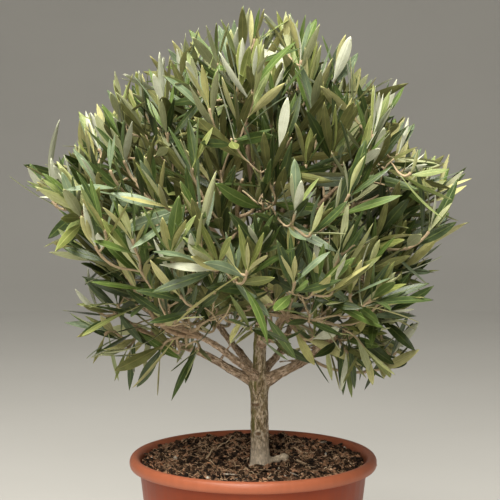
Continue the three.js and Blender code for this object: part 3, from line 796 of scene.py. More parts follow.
leader_line = bezier([leader_start - away * 0.002, leader_bend, leader_end], limb_points)
bough_tips["top"] = (leader_line[-1], unit(leader_line[-1] - leader_line[-3]), 0.0030)
leader_radii = with_knuckles(np.linspace(0.0053, 0.0030, limb_points), np.linspace(0, 1, limb_points),
                             (0.2, 0.42, 0.63, 0.84), 0.0006, 0.02)
limbs.append((wobbled(leader_line, 0.0007, 3), leader_radii, "top"))

# The flare has low buttresses between its roots.
trunk_sides, limb_sides = 40, 20
trunk_turns = around(trunk_sides)
buttress = np.exp(-np.clip(whole_trunk[:, 2] - trunk_foot[2], 0, None) / 0.007)[:, None] * (
    0.0006 * np.cos(3 * trunk_turns + 0.6) + 0.0004 * np.cos(5 * trunk_turns + 2))[None, :]
oval = 0.00025 * np.sin(2 * trunk_turns[None, :] + 18 * whole_trunk[:, 2:]) + buttress
tubes = [tube(whole_trunk, limbs[0][1][:, None] + oval, trunk_sides)]
tubes += [tube(line, radii, limb_sides) for line, radii, _ in limbs[1:]]
# A root's stump lies on the compost on the right, and four more roots dip under it.
stump_start = trunk_foot + (0, 0, 0.0040)
stump_end = stump_start + outward(12) * 0.027 + (0, 0, 0.0004)
stump_line = bezier([stump_start, stump_start + outward(4) * 0.014 - (0, 0, 0.0016), stump_end], 40)
stump_share = np.linspace(0, 1, 40)
stump_radii = (0.0026 + 0.0024 * np.exp(-(((stump_share - 0.86) / 0.16) ** 2))
               + 0.0016 * np.exp(-((stump_share / 0.45) ** 2)))
stump_radii = stump_radii + 0.0005 * np.sin(stump_share * 23)
limbs.append((stump_line, stump_radii, "root_stump"))
tubes.append(tube(stump_line, stump_radii, limb_sides))
for azimuth, length, thick in (
    (205, 0.016, 0.0034), (330, 0.015, 0.0032), (100, 0.016, 0.0032), (262, 0.014, 0.003),
):
    start = trunk_foot + (0, 0, 0.0015)
    end = start + outward(azimuth, -28) * length
    line = bezier([start, start + outward(azimuth) * length * 0.6, end], 20)
    tubes.append(tube(line, np.linspace(thick, thick * 0.55, 20), 14))

# Dead spurs and thin shoots near the fork: from x and z on a limb, to x and z, how far each leans
# forward or back (below 0 is forward), and its radius.
wood_points = np.concatenate([line[6:] for line, _, _ in limbs[:-1]])
for from_x, from_z, to_x, to_z, forward, radius in (
    (0.0665, 0.3100, 0.0254, 0.3046, -0.004, 0.0015), (0.0480, 0.3010, 0.0255, 0.2952, 0.010, 0.0012),
    (0.0110, 0.3050, 0.0225, 0.3185, -0.010, 0.0014), (-0.0300, 0.3000, -0.0040, 0.3360, -0.008, 0.0013),
    (-0.0080, 0.2960, -0.0400, 0.3380, -0.014, 0.0015), (0.0560, 0.3060, 0.0610, 0.3260, -0.006, 0.0014),
    (-0.0500, 0.3060, -0.0560, 0.3270, -0.008, 0.0013),
):
    start = wood_points[np.hypot(wood_points[:, 0] - from_x, wood_points[:, 2] - from_z).argmin()]
    end = np.array((to_x, start[1] + forward, to_z))
    line = wobbled(bezier([start, (start + end) / 2 + (0, -0.002, 0.003), end], 24), 0.0006, 3)
    radii = np.linspace(radius, radius * 0.62, 24) * wood_grain.uniform(0.9, 1.12, 24)
    tubes.append(tube(line, radii, 12))

points, quads, triangles = joined(tubes)
rough = new_piece("wood_rough", points, [quads, triangles], [])
remesh = rough.modifiers.new("one skin", "REMESH")
remesh.mode = "VOXEL"
remesh.voxel_size = 0.00070
soften = rough.modifiers.new("soft joints", "SMOOTH")
soften.factor = 0.5
soften.iterations = 5
bpy.context.view_layer.update()
skin_mesh = bpy.data.meshes.new_from_object(rough.evaluated_get(bpy.context.evaluated_depsgraph_get()))
bpy.data.objects.remove(rough)

count = len(skin_mesh.vertices)
skin_points = np.empty(count * 3, np.float32)
skin_normals = np.empty(count * 3, np.float32)
skin_mesh.vertices.foreach_get("co", skin_points)
skin_mesh.vertices.foreach_get("normal", skin_normals)
skin_points = skin_points.reshape(-1, 3).astype(float)
skin_normals = skin_normals.reshape(-1, 3).astype(float)

# Each point's place on its limb: which one, how far along it and which way round.
core = np.concatenate([line for line, _, _ in limbs])
core_radius = np.concatenate([radii for _, radii, _ in limbs])
core_limb = np.concatenate([np.full(len(line), i) for i, (line, _, _) in enumerate(limbs)])
core_along = np.concatenate([
    np.concatenate([[0], np.cumsum(np.linalg.norm(np.diff(line, axis=0), axis=1))]) for line, _, _ in limbs
])
core_side = np.concatenate([frames_along(line)[1] for line, _, _ in limbs])
core_other = np.concatenate([frames_along(line)[2] for line, _, _ in limbs])
nearest = np.empty(count, int)
block_size = 4000
for first in range(0, count, block_size):
    block = skin_points[first:first + block_size]
    gap = np.linalg.norm(block[:, None] - core[None], axis=2) - core_radius[None]
    nearest[first:first + block_size] = gap.argmin(1)
off = skin_points - core[nearest]
round_side = np.sum(off * core_side[nearest], 1)
round_other = np.sum(off * core_other[nearest], 1)
is_trunk = core_limb[nearest] == 0
is_stump = core_limb[nearest] == len(limbs) - 1
bark_way = np.stack([round_side, round_other, core_along[nearest] + 0.37 * core_limb[nearest]], 1)


def noise_at(places, scale, offset):
    return np.array([noise.noise(Vector(p)) for p in places * scale + offset])


cracks = 1 - np.abs(noise_at(bark_way, (620, 620, 170), 3.3)) * 2
fine_cracks = 1 - np.abs(noise_at(bark_way, (1150, 1150, 420), 9.1)) * 2
lumps = noise_at(bark_way, (210, 210, 130), 5.7)
crack_depth = np.where(is_trunk, 0.00020, 0.00022)
lump_height = 0.00050
skin_height = skin_points[:, 2]  # a view, so it takes the relief in too
smooth_foot = np.clip((skin_height - 0.203) / 0.018, 0.25, 1)
cracked = -np.clip(cracks - 0.72, 0, 1) * 3.2 - 0.7 * np.clip(fine_cracks - 0.7, 0, 1) * 2
relief = smooth_foot * crack_depth * cracked
relief = relief + lump_height * lumps

# On the front of the trunk, the closed scar of a cut-off pair of shoots, and a small knot.
scar_turn, scar_height = -0.52, 0.2556
knot_turn, knot_height = -0.16, 0.2272
front_turn = np.arctan2(off[:, 0], -off[:, 1])  # 0 at the front, negative to the left
scar_span = np.clip(1.25 - np.abs(front_turn - scar_turn) / 0.72, 0, 1) * is_trunk
scar_span = scar_span * scar_span * (3 - 2 * np.clip(scar_span, 0, 1))
scar_drop = skin_height - scar_height - 0.0006 * np.sin(front_turn * 3)
lips = np.exp(-(((scar_drop - 0.0021) / 0.0010) ** 2)) + np.exp(-(((scar_drop + 0.0023) / 0.0011) ** 2))
groove = np.exp(-((scar_drop / 0.0013) ** 2))
relief = relief + scar_span * (0.0011 * lips - 0.0005 * groove)
knot_x = (front_turn - knot_turn) * 0.0090
knot_z = skin_height - knot_height
knot = np.sqrt((knot_x / 0.0022) ** 2 + (knot_z / 0.0015) ** 2)
knot = knot + 9 * ~is_trunk + 9 * (np.abs(front_turn) > 1.5)
relief = relief + 0.00085 * np.exp(-(((knot - 1.6) / 0.7) ** 2)) - 0.0012 * np.exp(-(knot**2))
skin_points += skin_normals * relief[:, None]
skin_mesh.vertices.foreach_set("co", skin_points.astype(np.float32).ravel())


def give_values(mesh, name, values):
    kind = "FLOAT_VECTOR" if np.ndim(values) == 2 else "FLOAT"
    field = "vector" if kind == "FLOAT_VECTOR" else "value"
    made = mesh.attributes.new(name, kind, "POINT")
    made.data.foreach_set(field, np.asarray(values, np.float32).ravel())


def rising(values, low, span, most=1):
    """0 below low, and then up by 1 over the span, to most."""
    return np.clip((values - low) / span, 0, most)


left_side = np.clip(0.45 - 1.1 * np.sin(front_turn + 0.15), 0, 1)
algae = left_side * rising(skin_height, 0.212, 0.02) * is_trunk
algae = algae * np.clip(1.25 - np.abs(front_turn) / 2.6, 0.3, 1)
algae = algae + 0.3 * is_trunk * rising(skin_height, 0.225, 0.02)
scarred = scar_span * groove * 1.3 + 1.5 * np.exp(-((knot / 0.9) ** 2))
# Paleness: the real pale foot, stump and knot rim, and a painted highlight on the raised lips of the scar.
paleness_and_lip_highlight = (is_trunk * np.clip((0.226 - skin_height) / 0.022, 0, 1) + 0.7 * is_stump
            + 0.9 * np.exp(-(((knot - 1.7) / 0.5) ** 2)) + 0.32 * scar_span * lips)
give_values(skin_mesh, "bark_way", bark_way)
give_values(skin_mesh, "algae", np.clip(algae, 0, 1))
give_values(skin_mesh, "scar", np.clip(scarred, 0, 1))
give_values(skin_mesh, "paleness_and_lip_highlight", np.clip(paleness_and_lip_highlight, 0, 1))
give_values(skin_mesh, "bough", 1.0 * ~(is_trunk | is_stump)
            + is_trunk * rising(skin_height, 0.30, 0.05, most=0.5))
give_values(skin_mesh, "crack", np.clip(cracks - 0.68, 0, 1) * 3)

# Young bark: long flakes between darker furrows that run along the limb.
bark_effect, given, handed = new_effect(
    "bark",
    {"Way": "vector", "Flake": "colour", "Furrow": "colour", "Warm": "colour", "Furrow Depth": "value"},
    {"Colour": "colour", "Height": "value", "Mask": "value"},
)
furrows = soft_noise(bark_effect, scaled(bark_effect, given["Way"], (1, 1, 0.36)), 640.0, 5.0, 0.62)
furrow_mask = ramp(bark_effect, furrows, 0.52, 0.36)
furrow_mask = maths(bark_effect, "MULTIPLY", furrow_mask, given["Furrow Depth"])
freckles = soft_noise(bark_effect, scaled(bark_effect, given["Way"], (1, 1, 0.6)), 1500.0, 3.0)
broad = soft_noise(bark_effect, scaled(bark_effect, given["Way"], (1, 1, 0.55)), 330.0, 4.0)
flake_colour = mix(bark_effect, ramp(bark_effect, broad, 0.42, 0.60), given["Flake"], given["Warm"])
flake_colour = mix(bark_effect, ramp(bark_effect, freckles, 0.50, 0.70), flake_colour,
                   mix(bark_effect, 0.45, flake_colour, given["Furrow"]))
feed(bark_effect, handed, {
    "Colour": mix(bark_effect, furrow_mask, flake_colour, given["Furrow"]),
    "Height": maths(bark_effect, "SUBTRACT", maths(bark_effect, "MULTIPLY", freckles, 0.4), furrow_mask),
    "Mask": furrow_mask,
})

bark, tree, shader = new_finish("young olive bark", Roughness=0.82, Specular_IOR_Level=0.3)


def read_value(tree, name, output="Fac"):
    return node(tree, "ShaderNodeAttribute", attribute_name=name).outputs[output]


way = read_value(tree, "bark_way", "Vector")
on_trunk = place_effect(tree, bark_effect, Way=way, Flake=colour(0.355, 0.262, 0.158),
                        Furrow=colour(0.085, 0.053, 0.028), Warm=colour(0.73, 0.595, 0.445),
                        Furrow_Depth=0.95)
on_bough = place_effect(tree, bark_effect, Way=way, Flake=colour(0.41, 0.290, 0.190),
                        Furrow=colour(0.130, 0.080, 0.046), Warm=colour(0.68, 0.520, 0.385),
                        Furrow_Depth=0.9)
green_streaks = place_effect(tree, mottling, Place=scaled(tree, way, (1, 1, 0.2)), Size=0.0035,
                             Sharpness=1.3, Low=black, High=white)
green_share = maths(tree, "MULTIPLY_ADD", green_streaks.outputs["Mask"], 0.78, 0.10)
bark_colour = mix(tree, read_value(tree, "bough"), on_trunk.outputs["Colour"],
                  on_bough.outputs["Colour"])
# Over the bark: dark cracks, algae, the pale foot, stump and knot rim with a painted highlight on the
# scar's lips, and the dark of scar and knot.
for name, share, over in (
    ("crack", 0.50, colour(0.105, 0.066, 0.035)), ("algae", green_share, colour(0.155, 0.145, 0.035)),
    ("paleness_and_lip_highlight", 0.55, colour(0.80, 0.69, 0.56)), ("scar", 0.62, colour(0.150, 0.066, 0.036)),
):
    bark_colour = mix(tree, maths(tree, "MULTIPLY", read_value(tree, name), share), bark_colour, over)
feed(tree, shader, {
    "Base Color": bark_colour,
    "Roughness": maths(tree, "MULTIPLY_ADD", on_trunk.outputs["Mask"], 0.1, 0.78),
    "Normal": bump(tree, 0.7, 0.0006, on_trunk.outputs["Height"]),
})

skin_mesh.name = "trunk_and_boughs"
skin_mesh.materials.clear()
skin_mesh.materials.append(bark)
skin_mesh.shade_smooth()
wood_piece = place_piece("trunk_and_boughs", skin_mesh)
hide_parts("trunk", *("bough_" + name for name, *_ in boughs), "bough_top")

# ------------------------------------------------------------------ twigs
# Each bough goes on as a stem and carries its own share of the crown. Thin twigs branch from the
# stem and from each other, and turn up at their ends. Young bark is pinkish tan, older greyer.
crown_radius_most = 0.222
widest_height, top_height, bottom_height = 0.470, 0.634, 0.263
dome_fullness, skirt_fullness = 1.5, 2.0
bare_height, bare_slope = 0.330, 0.6
arch_height, arch_slope = 0.345, 0.85  # over the trunk, open to the front and the back
golden_angle = 180 * (3 - math.sqrt(5))
focus = around_crown(0, 0, 0.405)  # the twigs grow away from it
upper_heart, lower_heart = (0.106, 0.478), (0.132, 0.347)  # reach, height
hearts = {name: around_crown(azimuth, *(upper_heart if name.startswith("upper") else lower_heart))
          for name, azimuth, *_ in boughs}
hearts["top"] = around_crown(0, 0, 0.566)

tip_count = 330
shells = ((1, 0.62), (0.78, 0.25), (0.55, 0.13))
shell_turn = 57
tip_depth = 0.054
least_twig = 0.013
upturn = 1.2
front_upturn = 0.6
straight = 0.45
turn_cost = 0.5
path_cost = 0.3
growing = np.random.default_rng(23)


def crown_radius(height):
    span = (top_height if height > widest_height else bottom_height) - widest_height
    share = (height - widest_height) / span
    fullness = dome_fullness if height > widest_height else skirt_fullness
    return 0 if share >= 1 else crown_radius_most * (1 - share**fullness) ** (1 / fullness)


def in_crown(point, margin=0.0):
    reach = math.hypot(point[0] - crown_axis[0], point[1] - crown_axis[1])
    archway = arch_height - arch_slope * abs(point[0] - crown_axis[0])
    if point[2] <= max(bare_height - bare_slope * reach, archway) - min(margin, 0.013) / 2:
        return False
    towards = focus + (np.asarray(point) - focus) * (1 - margin / 0.2)
    return math.hypot(towards[0] - crown_axis[0], towards[1] - crown_axis[1]) < crown_radius(towards[2])


# The crown is narrower low on both sides, and notched between its leading shoots. Height, and how
# far it reaches there to the left and to the right.
left_reach = np.array([
    (0.260, -0.125), (0.300, -0.150), (0.326, -0.172), (0.345, -0.195), (0.362, -0.172), (0.400, -0.182),
    (0.418, -0.204), (0.434, -0.180), (0.456, -0.196), (0.466, -0.228), (0.484, -0.233), (0.496, -0.194),
    (0.518, -0.166), (0.534, -0.186), (0.546, -0.148), (0.562, -0.136), (0.574, -0.151), (0.580, -0.112),
    (0.589, -0.109), (0.598, -0.080), (0.617, -0.074), (0.622, -0.046), (0.632, -0.030),
])
right_reach = np.array([
    (0.260, 0.120), (0.280, 0.142), (0.297, 0.181), (0.312, 0.150), (0.338, 0.166), (0.352, 0.156),
    (0.390, 0.186), (0.404, 0.172), (0.431, 0.214), (0.446, 0.188), (0.470, 0.216), (0.487, 0.221),
    (0.499, 0.182), (0.514, 0.156), (0.530, 0.171), (0.541, 0.140), (0.567, 0.155), (0.574, 0.112),
    (0.588, 0.117), (0.596, 0.088), (0.614, 0.096), (0.620, 0.058), (0.629, 0.058),
])


def side_limits(height, inset):
    return np.interp(height, *left_reach.T) + inset, np.interp(height, *right_reach.T) - inset

tips = []
for s, (shell, part) in enumerate(shells):
    shell_count = round(tip_count * part)
    for i in range(shell_count):
        height = bottom_height + (top_height - bottom_height) * (i + 0.5) / shell_count
        azimuth = golden_angle * i + shell_turn * s + growing.normal(0, 3)
        way = around_crown(azimuth, crown_radius(height), height) - focus
        hollow = noise.noise(Vector(unit(way)) * 2.6 + Vector((1.7, 4.2, 8.1)))
        depth = tip_depth + np.clip(growing.normal(0, 0.018) + 0.055 * hollow, -0.026, 0.05)
        tip = focus + unit(way) * (np.linalg.norm(way) - depth) * shell
        tip[0] = np.clip(tip[0], *side_limits(tip[2], 0.050))
        if in_crown(tip):
            tips.append(tip)
# Leading shoots stand out of the crown's outline: x and z of each one's last leaves.
leading = [
    (-0.2279, 0.4764), (-0.1794, 0.5336), (-0.1457, 0.5744), (-0.1028, 0.5885), (-0.0695, 0.6168),
    (-0.0126, 0.6309), (0.0538, 0.6290), (0.0936, 0.6140), (0.1128, 0.5876), (0.1510, 0.5668),
    (0.1666, 0.5298), (0.2149, 0.4793), (0.2118, 0.4313), (0.1825, 0.3898), (0.1628, 0.3384),
    (0.1806, 0.2974), (0.1325, 0.2800), (0.1313, 0.2964), (-0.2020, 0.4150), (-0.1950, 0.3450),
    (-0.1700, 0.3050),
]
leading_leaves = 0.045  # how far the last leaves pass the shoot's tip
leading_tips = set()
for x, z in leading:
    end = np.array((x, growing.uniform(-0.035, 0.02), z))
    tips.append(end - unit(unit(end - focus) + (0, 0, 0.3)) * leading_leaves)
    leading_tips.add(tuple(tips[-1]))
more_leading = 46
for i in range(more_leading):
    height = bottom_height + (top_height - bottom_height) * (0.12 + 0.86 * ((i * 0.618) % 1))
    way = around_crown(golden_angle * i + 20, crown_radius(height), height) - focus
    tip = focus + unit(way) * (np.linalg.norm(way) - growing.uniform(0.020, 0.036))
    tip[0] = np.clip(tip[0], *side_limits(tip[2], 0.036))
    if in_crown(tip):
        tips.append(tip)
        leading_tips.add(tuple(tip))
# A few shoots hang at the underside.
hanging_tips = {
    (-0.118, -0.045, 0.316), (-0.086, -0.060, 0.318), (-0.100, 0.030, 0.320), (-0.142, -0.012, 0.324),
    (0.088, -0.050, 0.312), (0.118, 0.020, 0.314), (0.102, -0.074, 0.320), (-0.060, 0.085, 0.320),
    (0.050, 0.095, 0.318), (0.004, -0.110, 0.326), (-0.050, -0.092, 0.322), (0.070, -0.020, 0.316),
}
tips += [np.array(tip) for tip in sorted(hanging_tips)]
# Twigs that have lost their leaves stay in the shade inside.
most_bare = 230
bare_tips = set()
for i in range(most_bare):
    height = growing.uniform(0.32, 0.52) if i % 2 else growing.uniform(0.30, 0.38)
    tip = around_crown(golden_angle * i, crown_radius(height) * growing.uniform(0.30, 0.85), height)
    if in_crown(tip, -0.025):
        tips.append(tip)
        bare_tips.add(tuple(tip))
twig_points = 25


def grow_wood(name, own_tips):
    """The stem and twigs of one part of the crown: a dict each with its line and where it branches."""
    foot, away, tip_radius = bough_tips[name]
    heart = hearts[name]
    stem_bend = foot + away * np.linalg.norm(heart - foot) * straight
    stem_line = bezier([foot - away * 0.004, stem_bend, heart], twig_points)
    wood = [{"line": stem_line, "from": None, "path": 0.0, "stem": True}]
    points, ways, paths, owners, spots = [], [], [], [], []

    def add_points(index):
        line, path = wood[index]["line"], wood[index]["path"]
        ahead = unit(np.gradient(line, axis=0))
        length = np.linalg.norm(np.diff(line, axis=0), axis=1).sum()
        for k in range(5, len(line) - 2, 2):
            points.append(line[k])
            ways.append(ahead[k])
            paths.append(path + length * k / (len(line) - 1))
            owners.append(index)
            spots.append(k)

    add_points(0)
    for tip in sorted(own_tips, key=lambda t: np.linalg.norm(t - foot)):
        from_points = np.array(points)
        gap = tip - from_points
        far = np.linalg.norm(gap, axis=1)
        turn = np.arccos(np.clip(np.sum(gap * np.array(ways), 1) / np.maximum(far, 1e-6), -1, 1))
        best = int(np.argmin(far * (1 + turn_cost * turn) + path_cost * np.array(paths)))
        if far[best] < least_twig:
            continue
        start = from_points[best]
        out = unit(tip - focus)
        key = tuple(tip)
        up = (upturn + front_upturn * out[1] ** 2) * growing.uniform(0.65, 1.35)
        if key in hanging_tips:
            up = -0.25
        rise = unit(np.array((0, 0, up)) + out + growing.normal(0, 0.10, 3))
        if key in bare_tips:
            rise = unit(gap[best] / far[best] + growing.normal(0, 0.16, 3))
        line = bezier([start, tip - rise * straight * far[best], tip], twig_points)
        wood.append({
            "line": line, "from": owners[best], "spot": spots[best], "path": paths[best], "stem": False,
            "leads": key in leading_tips or key in hanging_tips, "is_bare": key in bare_tips,
        })
        add_points(len(wood) - 1)
    return wood


def nearest_heart(point):
    return min(hearts, key=lambda name: np.linalg.norm(hearts[name] - point))


tips_of = {name: [] for name in hearts}
for tip in tips:
    tips_of[nearest_heart(tip)].append(tip)
wood_of = {name: grow_wood(name, tips_of[name]) for name in hearts}
# Three shoots grow apart from the rule: a thin one low on the right, bare up to its end, and a
# stout one from each of two boughs. Mass, radius, how much of it has leaves, and its path.
for name, thick, leafy, path in (
    ("right", 0.0014, 0.35, [(0.052, -0.006, 0.303), (0.069, -0.016, 0.289), (0.105, -0.020, 0.280),
                             (0.133, -0.022, 0.297)]),
    ("right", 0.0025, 0.85, [(0.060, -0.008, 0.309), (0.084, -0.018, 0.316), (0.092, -0.030, 0.352),
                             (0.112, -0.041, 0.371), (0.138, -0.051, 0.391)]),
    ("front_left", 0.0026, 0.85, [(-0.052, -0.058, 0.330), (-0.078, -0.072, 0.330),
                                  (-0.097, -0.083, 0.341), (-0.106, -0.088, 0.377),
                                  (-0.122, -0.094, 0.404)]),
):
    wood_of[name].append({
        "line": bezier(path, twig_points), "from": 0, "spot": 2, "path": 0.0, "stem": False,
        "leads": True, "is_bare": False, "leafy": leafy, "thick": thick,
    })

# A twig is thicker the more others it carries, and never thicker than what it grows from.
stem_end_radius, bare_end_radius, young_radius = 0.0013, 0.00055, 0.00105
for name, wood in wood_of.items():
    carried = [0] * len(wood)
    for i in range(len(wood) - 1, 0, -1):
        parent = wood[i]["from"]
        while parent is not None:
            carried[parent] += 1
            parent = wood[parent]["from"]
    for i, twig in enumerate(wood):
        share = np.linspace(0, 1, len(twig["line"]))
        if twig["stem"]:
            foot_radius = bough_tips[name][2]
            twig["radii"] = foot_radius + (stem_end_radius - foot_radius) * share
            continue
        parent_radius = wood[twig["from"]]["radii"][twig["spot"]]
        thick = twig.get("thick", min(0.00130 * (1 + carried[i]) ** 0.38, 0.88 * parent_radius))
        end_radius = bare_end_radius if twig["is_bare"] else young_radius
        twig["radii"] = thick + (end_radius - thick) * share**0.8
        twig["line"] = twig["line"] + sum(
            growing.normal(0, 0.0007 / k, 3) * np.sin(np.pi * k * share[:, None]) for k in (1, 2, 3, 4))

# ------------------------------------------------------------------ leaves
# Narrow leathery leaves in opposite pairs, each pair a quarter turn from the last. They lie close
# to the shoot near its end and open lower down. Green above, and silvery with fine scales below.
leaf_length = 0.0610
leaf_widths = (0.128, 0.218)  # of the length, and most are nearer the narrow end
leaf_sizes = (0.70, 0.90, 1.0, 1.03, 1.0)  # by pair, from the tip
pair_spacings = (0.0048, 0.0085, 0.0120, 0.0140, 0.0155, 0.0165, 0.0170, 0.0175)
most_pairs, full_pairs = 12, 5  # past the full ones a leaf may have dropped
dropped_share = 0.16
leafy_length = 0.100
tip_angle, open_angle = 11, 33
lead_opening = 4
low_height, low_openness = 0.37, 12  # shoots this low spread their leaves more
lowest_share = 0.10
leaf_gap, twig_gap = 0.0034, 0.0030
lead_past, usual_past = 0.026, (-0.014, 0.008)  # how far leaves may pass the crown's form
lead_inset, side_inset = (-0.004, 0.008), 0.012  # how far they stay inside its side limits
attempts = 5
cell_size = 0.008
sample_shares = np.array([0.3, 0.45, 0.6, 0.75, 0.9, 1.0])
taken_leaves, taken_wood = {}, {}


def cell_of(point):
    return tuple(int(math.floor(c / cell_size)) for c in point)


neighbour_cells = [(i, j, k) for i in (-1, 0, 1) for j in (-1, 0, 1) for k in (-1, 0, 1)]


def is_taken(space, point, gap, own=None):
    i, j, k = cell_of(point)
    x, y, z = point
    for di, dj, dk in neighbour_cells:
        for ox, oy, oz, room, owner in space.get((i + di, j + dj, k + dk), ()):
            if owner != own and (ox - x) ** 2 + (oy - y) ** 2 + (oz - z) ** 2 < (gap + room) ** 2:
                return True
    return False


def take(space, point, room, owner):
    space.setdefault(cell_of(point), []).append((point[0], point[1], point[2], room, owner))


for name, wood in wood_of.items():
    for i, twig in enumerate(wood):
        for point, radius in zip(twig["line"], twig["radii"]):
            take(taken_wood, point, radius, (name, i))
thickest_near = 0.007  # thicker wood stands clear of every leaf
for line, radii, limb_name in limbs:
    for point, radius in zip(line[::2], radii[::2]):
        if radius < thickest_near:
            take(taken_wood, point, radius, limb_name)

reach_past = 0.018  # how far a leaf's end may pass the solid model's box
low_corner = np.array(cad_box[0]) - reach_past
high_corner = np.array(cad_box[1]) + reach_past


def leaf_frame(axis, turn, openness, roll):
    """The directions along a leaf and out of its upper side, which faces the shoot's tip."""
    side = unit(np.cross((0.0, 0.0, 1.0), axis))
    other = np.cross(axis, side)
    away = math.cos(turn) * side + math.sin(turn) * other
    along = math.cos(openness) * axis + math.sin(openness) * away
    face = math.sin(openness) * axis - math.cos(openness) * away
    across = np.cross(face, along)
    return along, math.cos(roll) * face + math.sin(roll) * across


def towards_sky(along, face, share):
    """The face turned about the leaf's length part of the way to the sky."""
    sky = np.array((0.0, 0.0, 1.0)) - along * along[2]
    if np.linalg.norm(sky) < 0.2:
        return face
    turned = unit(unit(sky) * share + face * (1 - share))
    return unit(turned - along * turned.dot(along))


grown = []  # one dict a leaf
for name, wood in wood_of.items():
    for i, twig in enumerate(wood):
        if twig["stem"] or twig["is_bare"]:
            continue
        line = twig["line"]
        length = np.linalg.norm(np.diff(line, axis=0), axis=1).sum()
        ahead = unit(np.gradient(line, axis=0))
        leads = twig["leads"]
        vigour = growing.uniform(0.86, 1.12)
        past = lead_past if leads else growing.uniform(*usual_past)
        opening = lead_opening if leads else 0
        outer = np.linalg.norm(line[-1] - focus) / 0.2
        first_turn = growing.uniform(0, math.pi)
        spray = growing.random()
        leafy = leafy_length * vigour * (0.75 + 0.35 * outer) * twig.get("leafy", 1)
        from_tip = -0.001
        nodes, leafed = [], []
        for pair in range(most_pairs):
            share = 1 - from_tip / length
            if share < lowest_share or from_tip > leafy:
                break
            at = min(share, 1) * (len(line) - 1)
            low = min(int(at), len(line) - 2)
            point = line[low] + (line[low + 1] - line[low]) * (at - low)
            axis = ahead[min(low + 1, len(line) - 1)]
            nodes.append(min(share, 1))
            age = min(pair / 4, 1)
            is_low = point[2] < low_height
            usual = math.radians(tip_angle + opening + (open_angle - tip_angle) * age**0.9
                                 + low_openness * is_low)
            for hand in (0, 1):
                if pair >= full_pairs and growing.random() < dropped_share:
                    continue
                for attempt in range(attempts):
                    openness = usual + growing.normal(0, 0.14 + 0.05 * attempt)
                    turn = (first_turn + pair * math.pi / 2 + hand * math.pi
                            + growing.normal(0, 0.14 + 0.25 * attempt))
                    size = leaf_sizes[min(pair, 4)] * vigour * growing.uniform(0.86, 1.12)
                    size = size * (1 - 0.07 * attempt)
                    along, face = leaf_frame(axis, turn, openness, growing.normal(0, 0.25))
                    droop = (0.06 + 0.25 * is_low) * age * growing.random()
                    along = unit(along - (0, 0, droop))
                    face = unit(face - along * face.dot(along))
                    face = towards_sky(along, face, growing.uniform(0, 0.30) * (0.3 + 0.7 * age))
                    reach = leaf_length * size
                    arch = growing.normal(0.06, 0.24)
                    ends = point + along * (reach * sample_shares)[:, None]
                    ends = ends - face * (arch * reach / 2 * sample_shares**2)[:, None]
                    if not all(in_crown(end, past) for end in ends[2:]):
                        continue
                    if (ends < low_corner).any() or (ends > high_corner).any():
                        continue
                    inset = growing.uniform(*lead_inset) if leads else side_inset
                    left, right = side_limits(ends[-1][2], inset)
                    if not left < ends[-1][0] < right:
                        continue
                    if any(is_taken(taken_leaves, end, leaf_gap) for end in ends):
                        continue
                    if any(is_taken(taken_wood, end, twig_gap, (name, i)) for end in ends):
                        continue
                    for end in ends:
                        take(taken_leaves, end, 0.0, None)
                    leafed.append(min(share, 1))
                    width_share = growing.beta(1.5, 2.9)
                    width_share = leaf_widths[0] + (leaf_widths[1] - leaf_widths[0]) * width_share
                    grown.append({
                        "mass": name, "root": point, "along": along, "face": face, "length": reach,
                        "arch": arch, "width": reach * width_share, "age": pair, "spray": spray,
                        "is_inner": in_crown(point, -0.080), "height": point[2],
                    })
                    break
            from_tip += pair_spacings[min(pair, 7)] * vigour * growing.uniform(0.85, 1.2)
        # A shoot ends at its last leaves, or where its last side shoot leaves it.
        branches = [other["spot"] / (len(line) - 1) for other in wood if other["from"] == i]
        kept = min(1, max(leafed + branches, default=0.35) + 0.002 / length)
        kept_points = max(5, int(round(kept * (len(line) - 1))) + 1)
        kept = (kept_points - 1) / (len(line) - 1)
        twig["line"], twig["radii"] = line[:kept_points], twig["radii"][:kept_points]
        twig["nodes"] = [at / kept for at in nodes if at <= kept]

# The blade's pattern is drawn on its own map: one column a tint, with the upper side in the map's
# lower half, and a place across and a place along the blade in each.
tint_columns = 6
column_half = 0.42  # of a column's width, on each side of its middle
sides_apart = 0.5


def leaf_map(tint, across, along):
    """The map's u and v for a place on a leaf's upper side: across from -1 to 1, along from 0 to 1."""
    return (tint + 0.5 + column_half * across) / tint_columns, 0.02 + 0.46 * along


blade_effect, given, handed = new_effect(
    "leaf blade",
    {"Blade": "colour", "Patch": "colour", "Midrib": "colour", "Margin": "colour", "Fleck": "colour",
     "Fleck Share": "value"},
    {"Colour": "colour", "Height": "value", "Mask": "value"},
)


def on_blade(operation, *values):
    return maths(blade_effect, operation, *values)


def over_blade(tone, mask, strength, socket):
    """The tone with another of the blade's colours over it, where the mask says."""
    return mix(blade_effect, on_blade("MULTIPLY", mask, strength), tone, given[socket])


map_place = node(blade_effect, "ShaderNodeUVMap", uv_map="OFBake").outputs[0]
split = node(blade_effect, "ShaderNodeSeparateXYZ", {0: map_place}).outputs
in_column = on_blade("FRACT", on_blade("MULTIPLY", split[0], float(tint_columns)))
across = on_blade("ABSOLUTE", on_blade("DIVIDE", on_blade("SUBTRACT", in_column, 0.5), column_half))
along = on_blade("FRACT", on_blade("MULTIPLY", split[1], 2.0))
blade_place = node(blade_effect, "ShaderNodeCombineXYZ", {
    0: on_blade("MULTIPLY", split[0], 5.0), 1: on_blade("MULTIPLY", split[1], 8.0),
}).outputs[0]
patchy = soft_noise(blade_effect, blade_place, 1.6, 4.0)
flecks = ramp(blade_effect, soft_noise(blade_effect, blade_place, 26.0, 2.0), 0.52, 0.66)
vein_phase = on_blade("SUBTRACT", on_blade("MULTIPLY", along, 70.0), on_blade("MULTIPLY", across, 9.0))
veins = ramp(blade_effect, on_blade("SINE", vein_phase), 0.75, 1.0)
midrib = ramp(blade_effect, across, 0.14, 0.05)
margin = ramp(blade_effect, across, 0.82, 0.97)
both_ends = on_blade("MAXIMUM", ramp(blade_effect, along, 0.16, 0.04),
                     ramp(blade_effect, along, 0.88, 0.97))
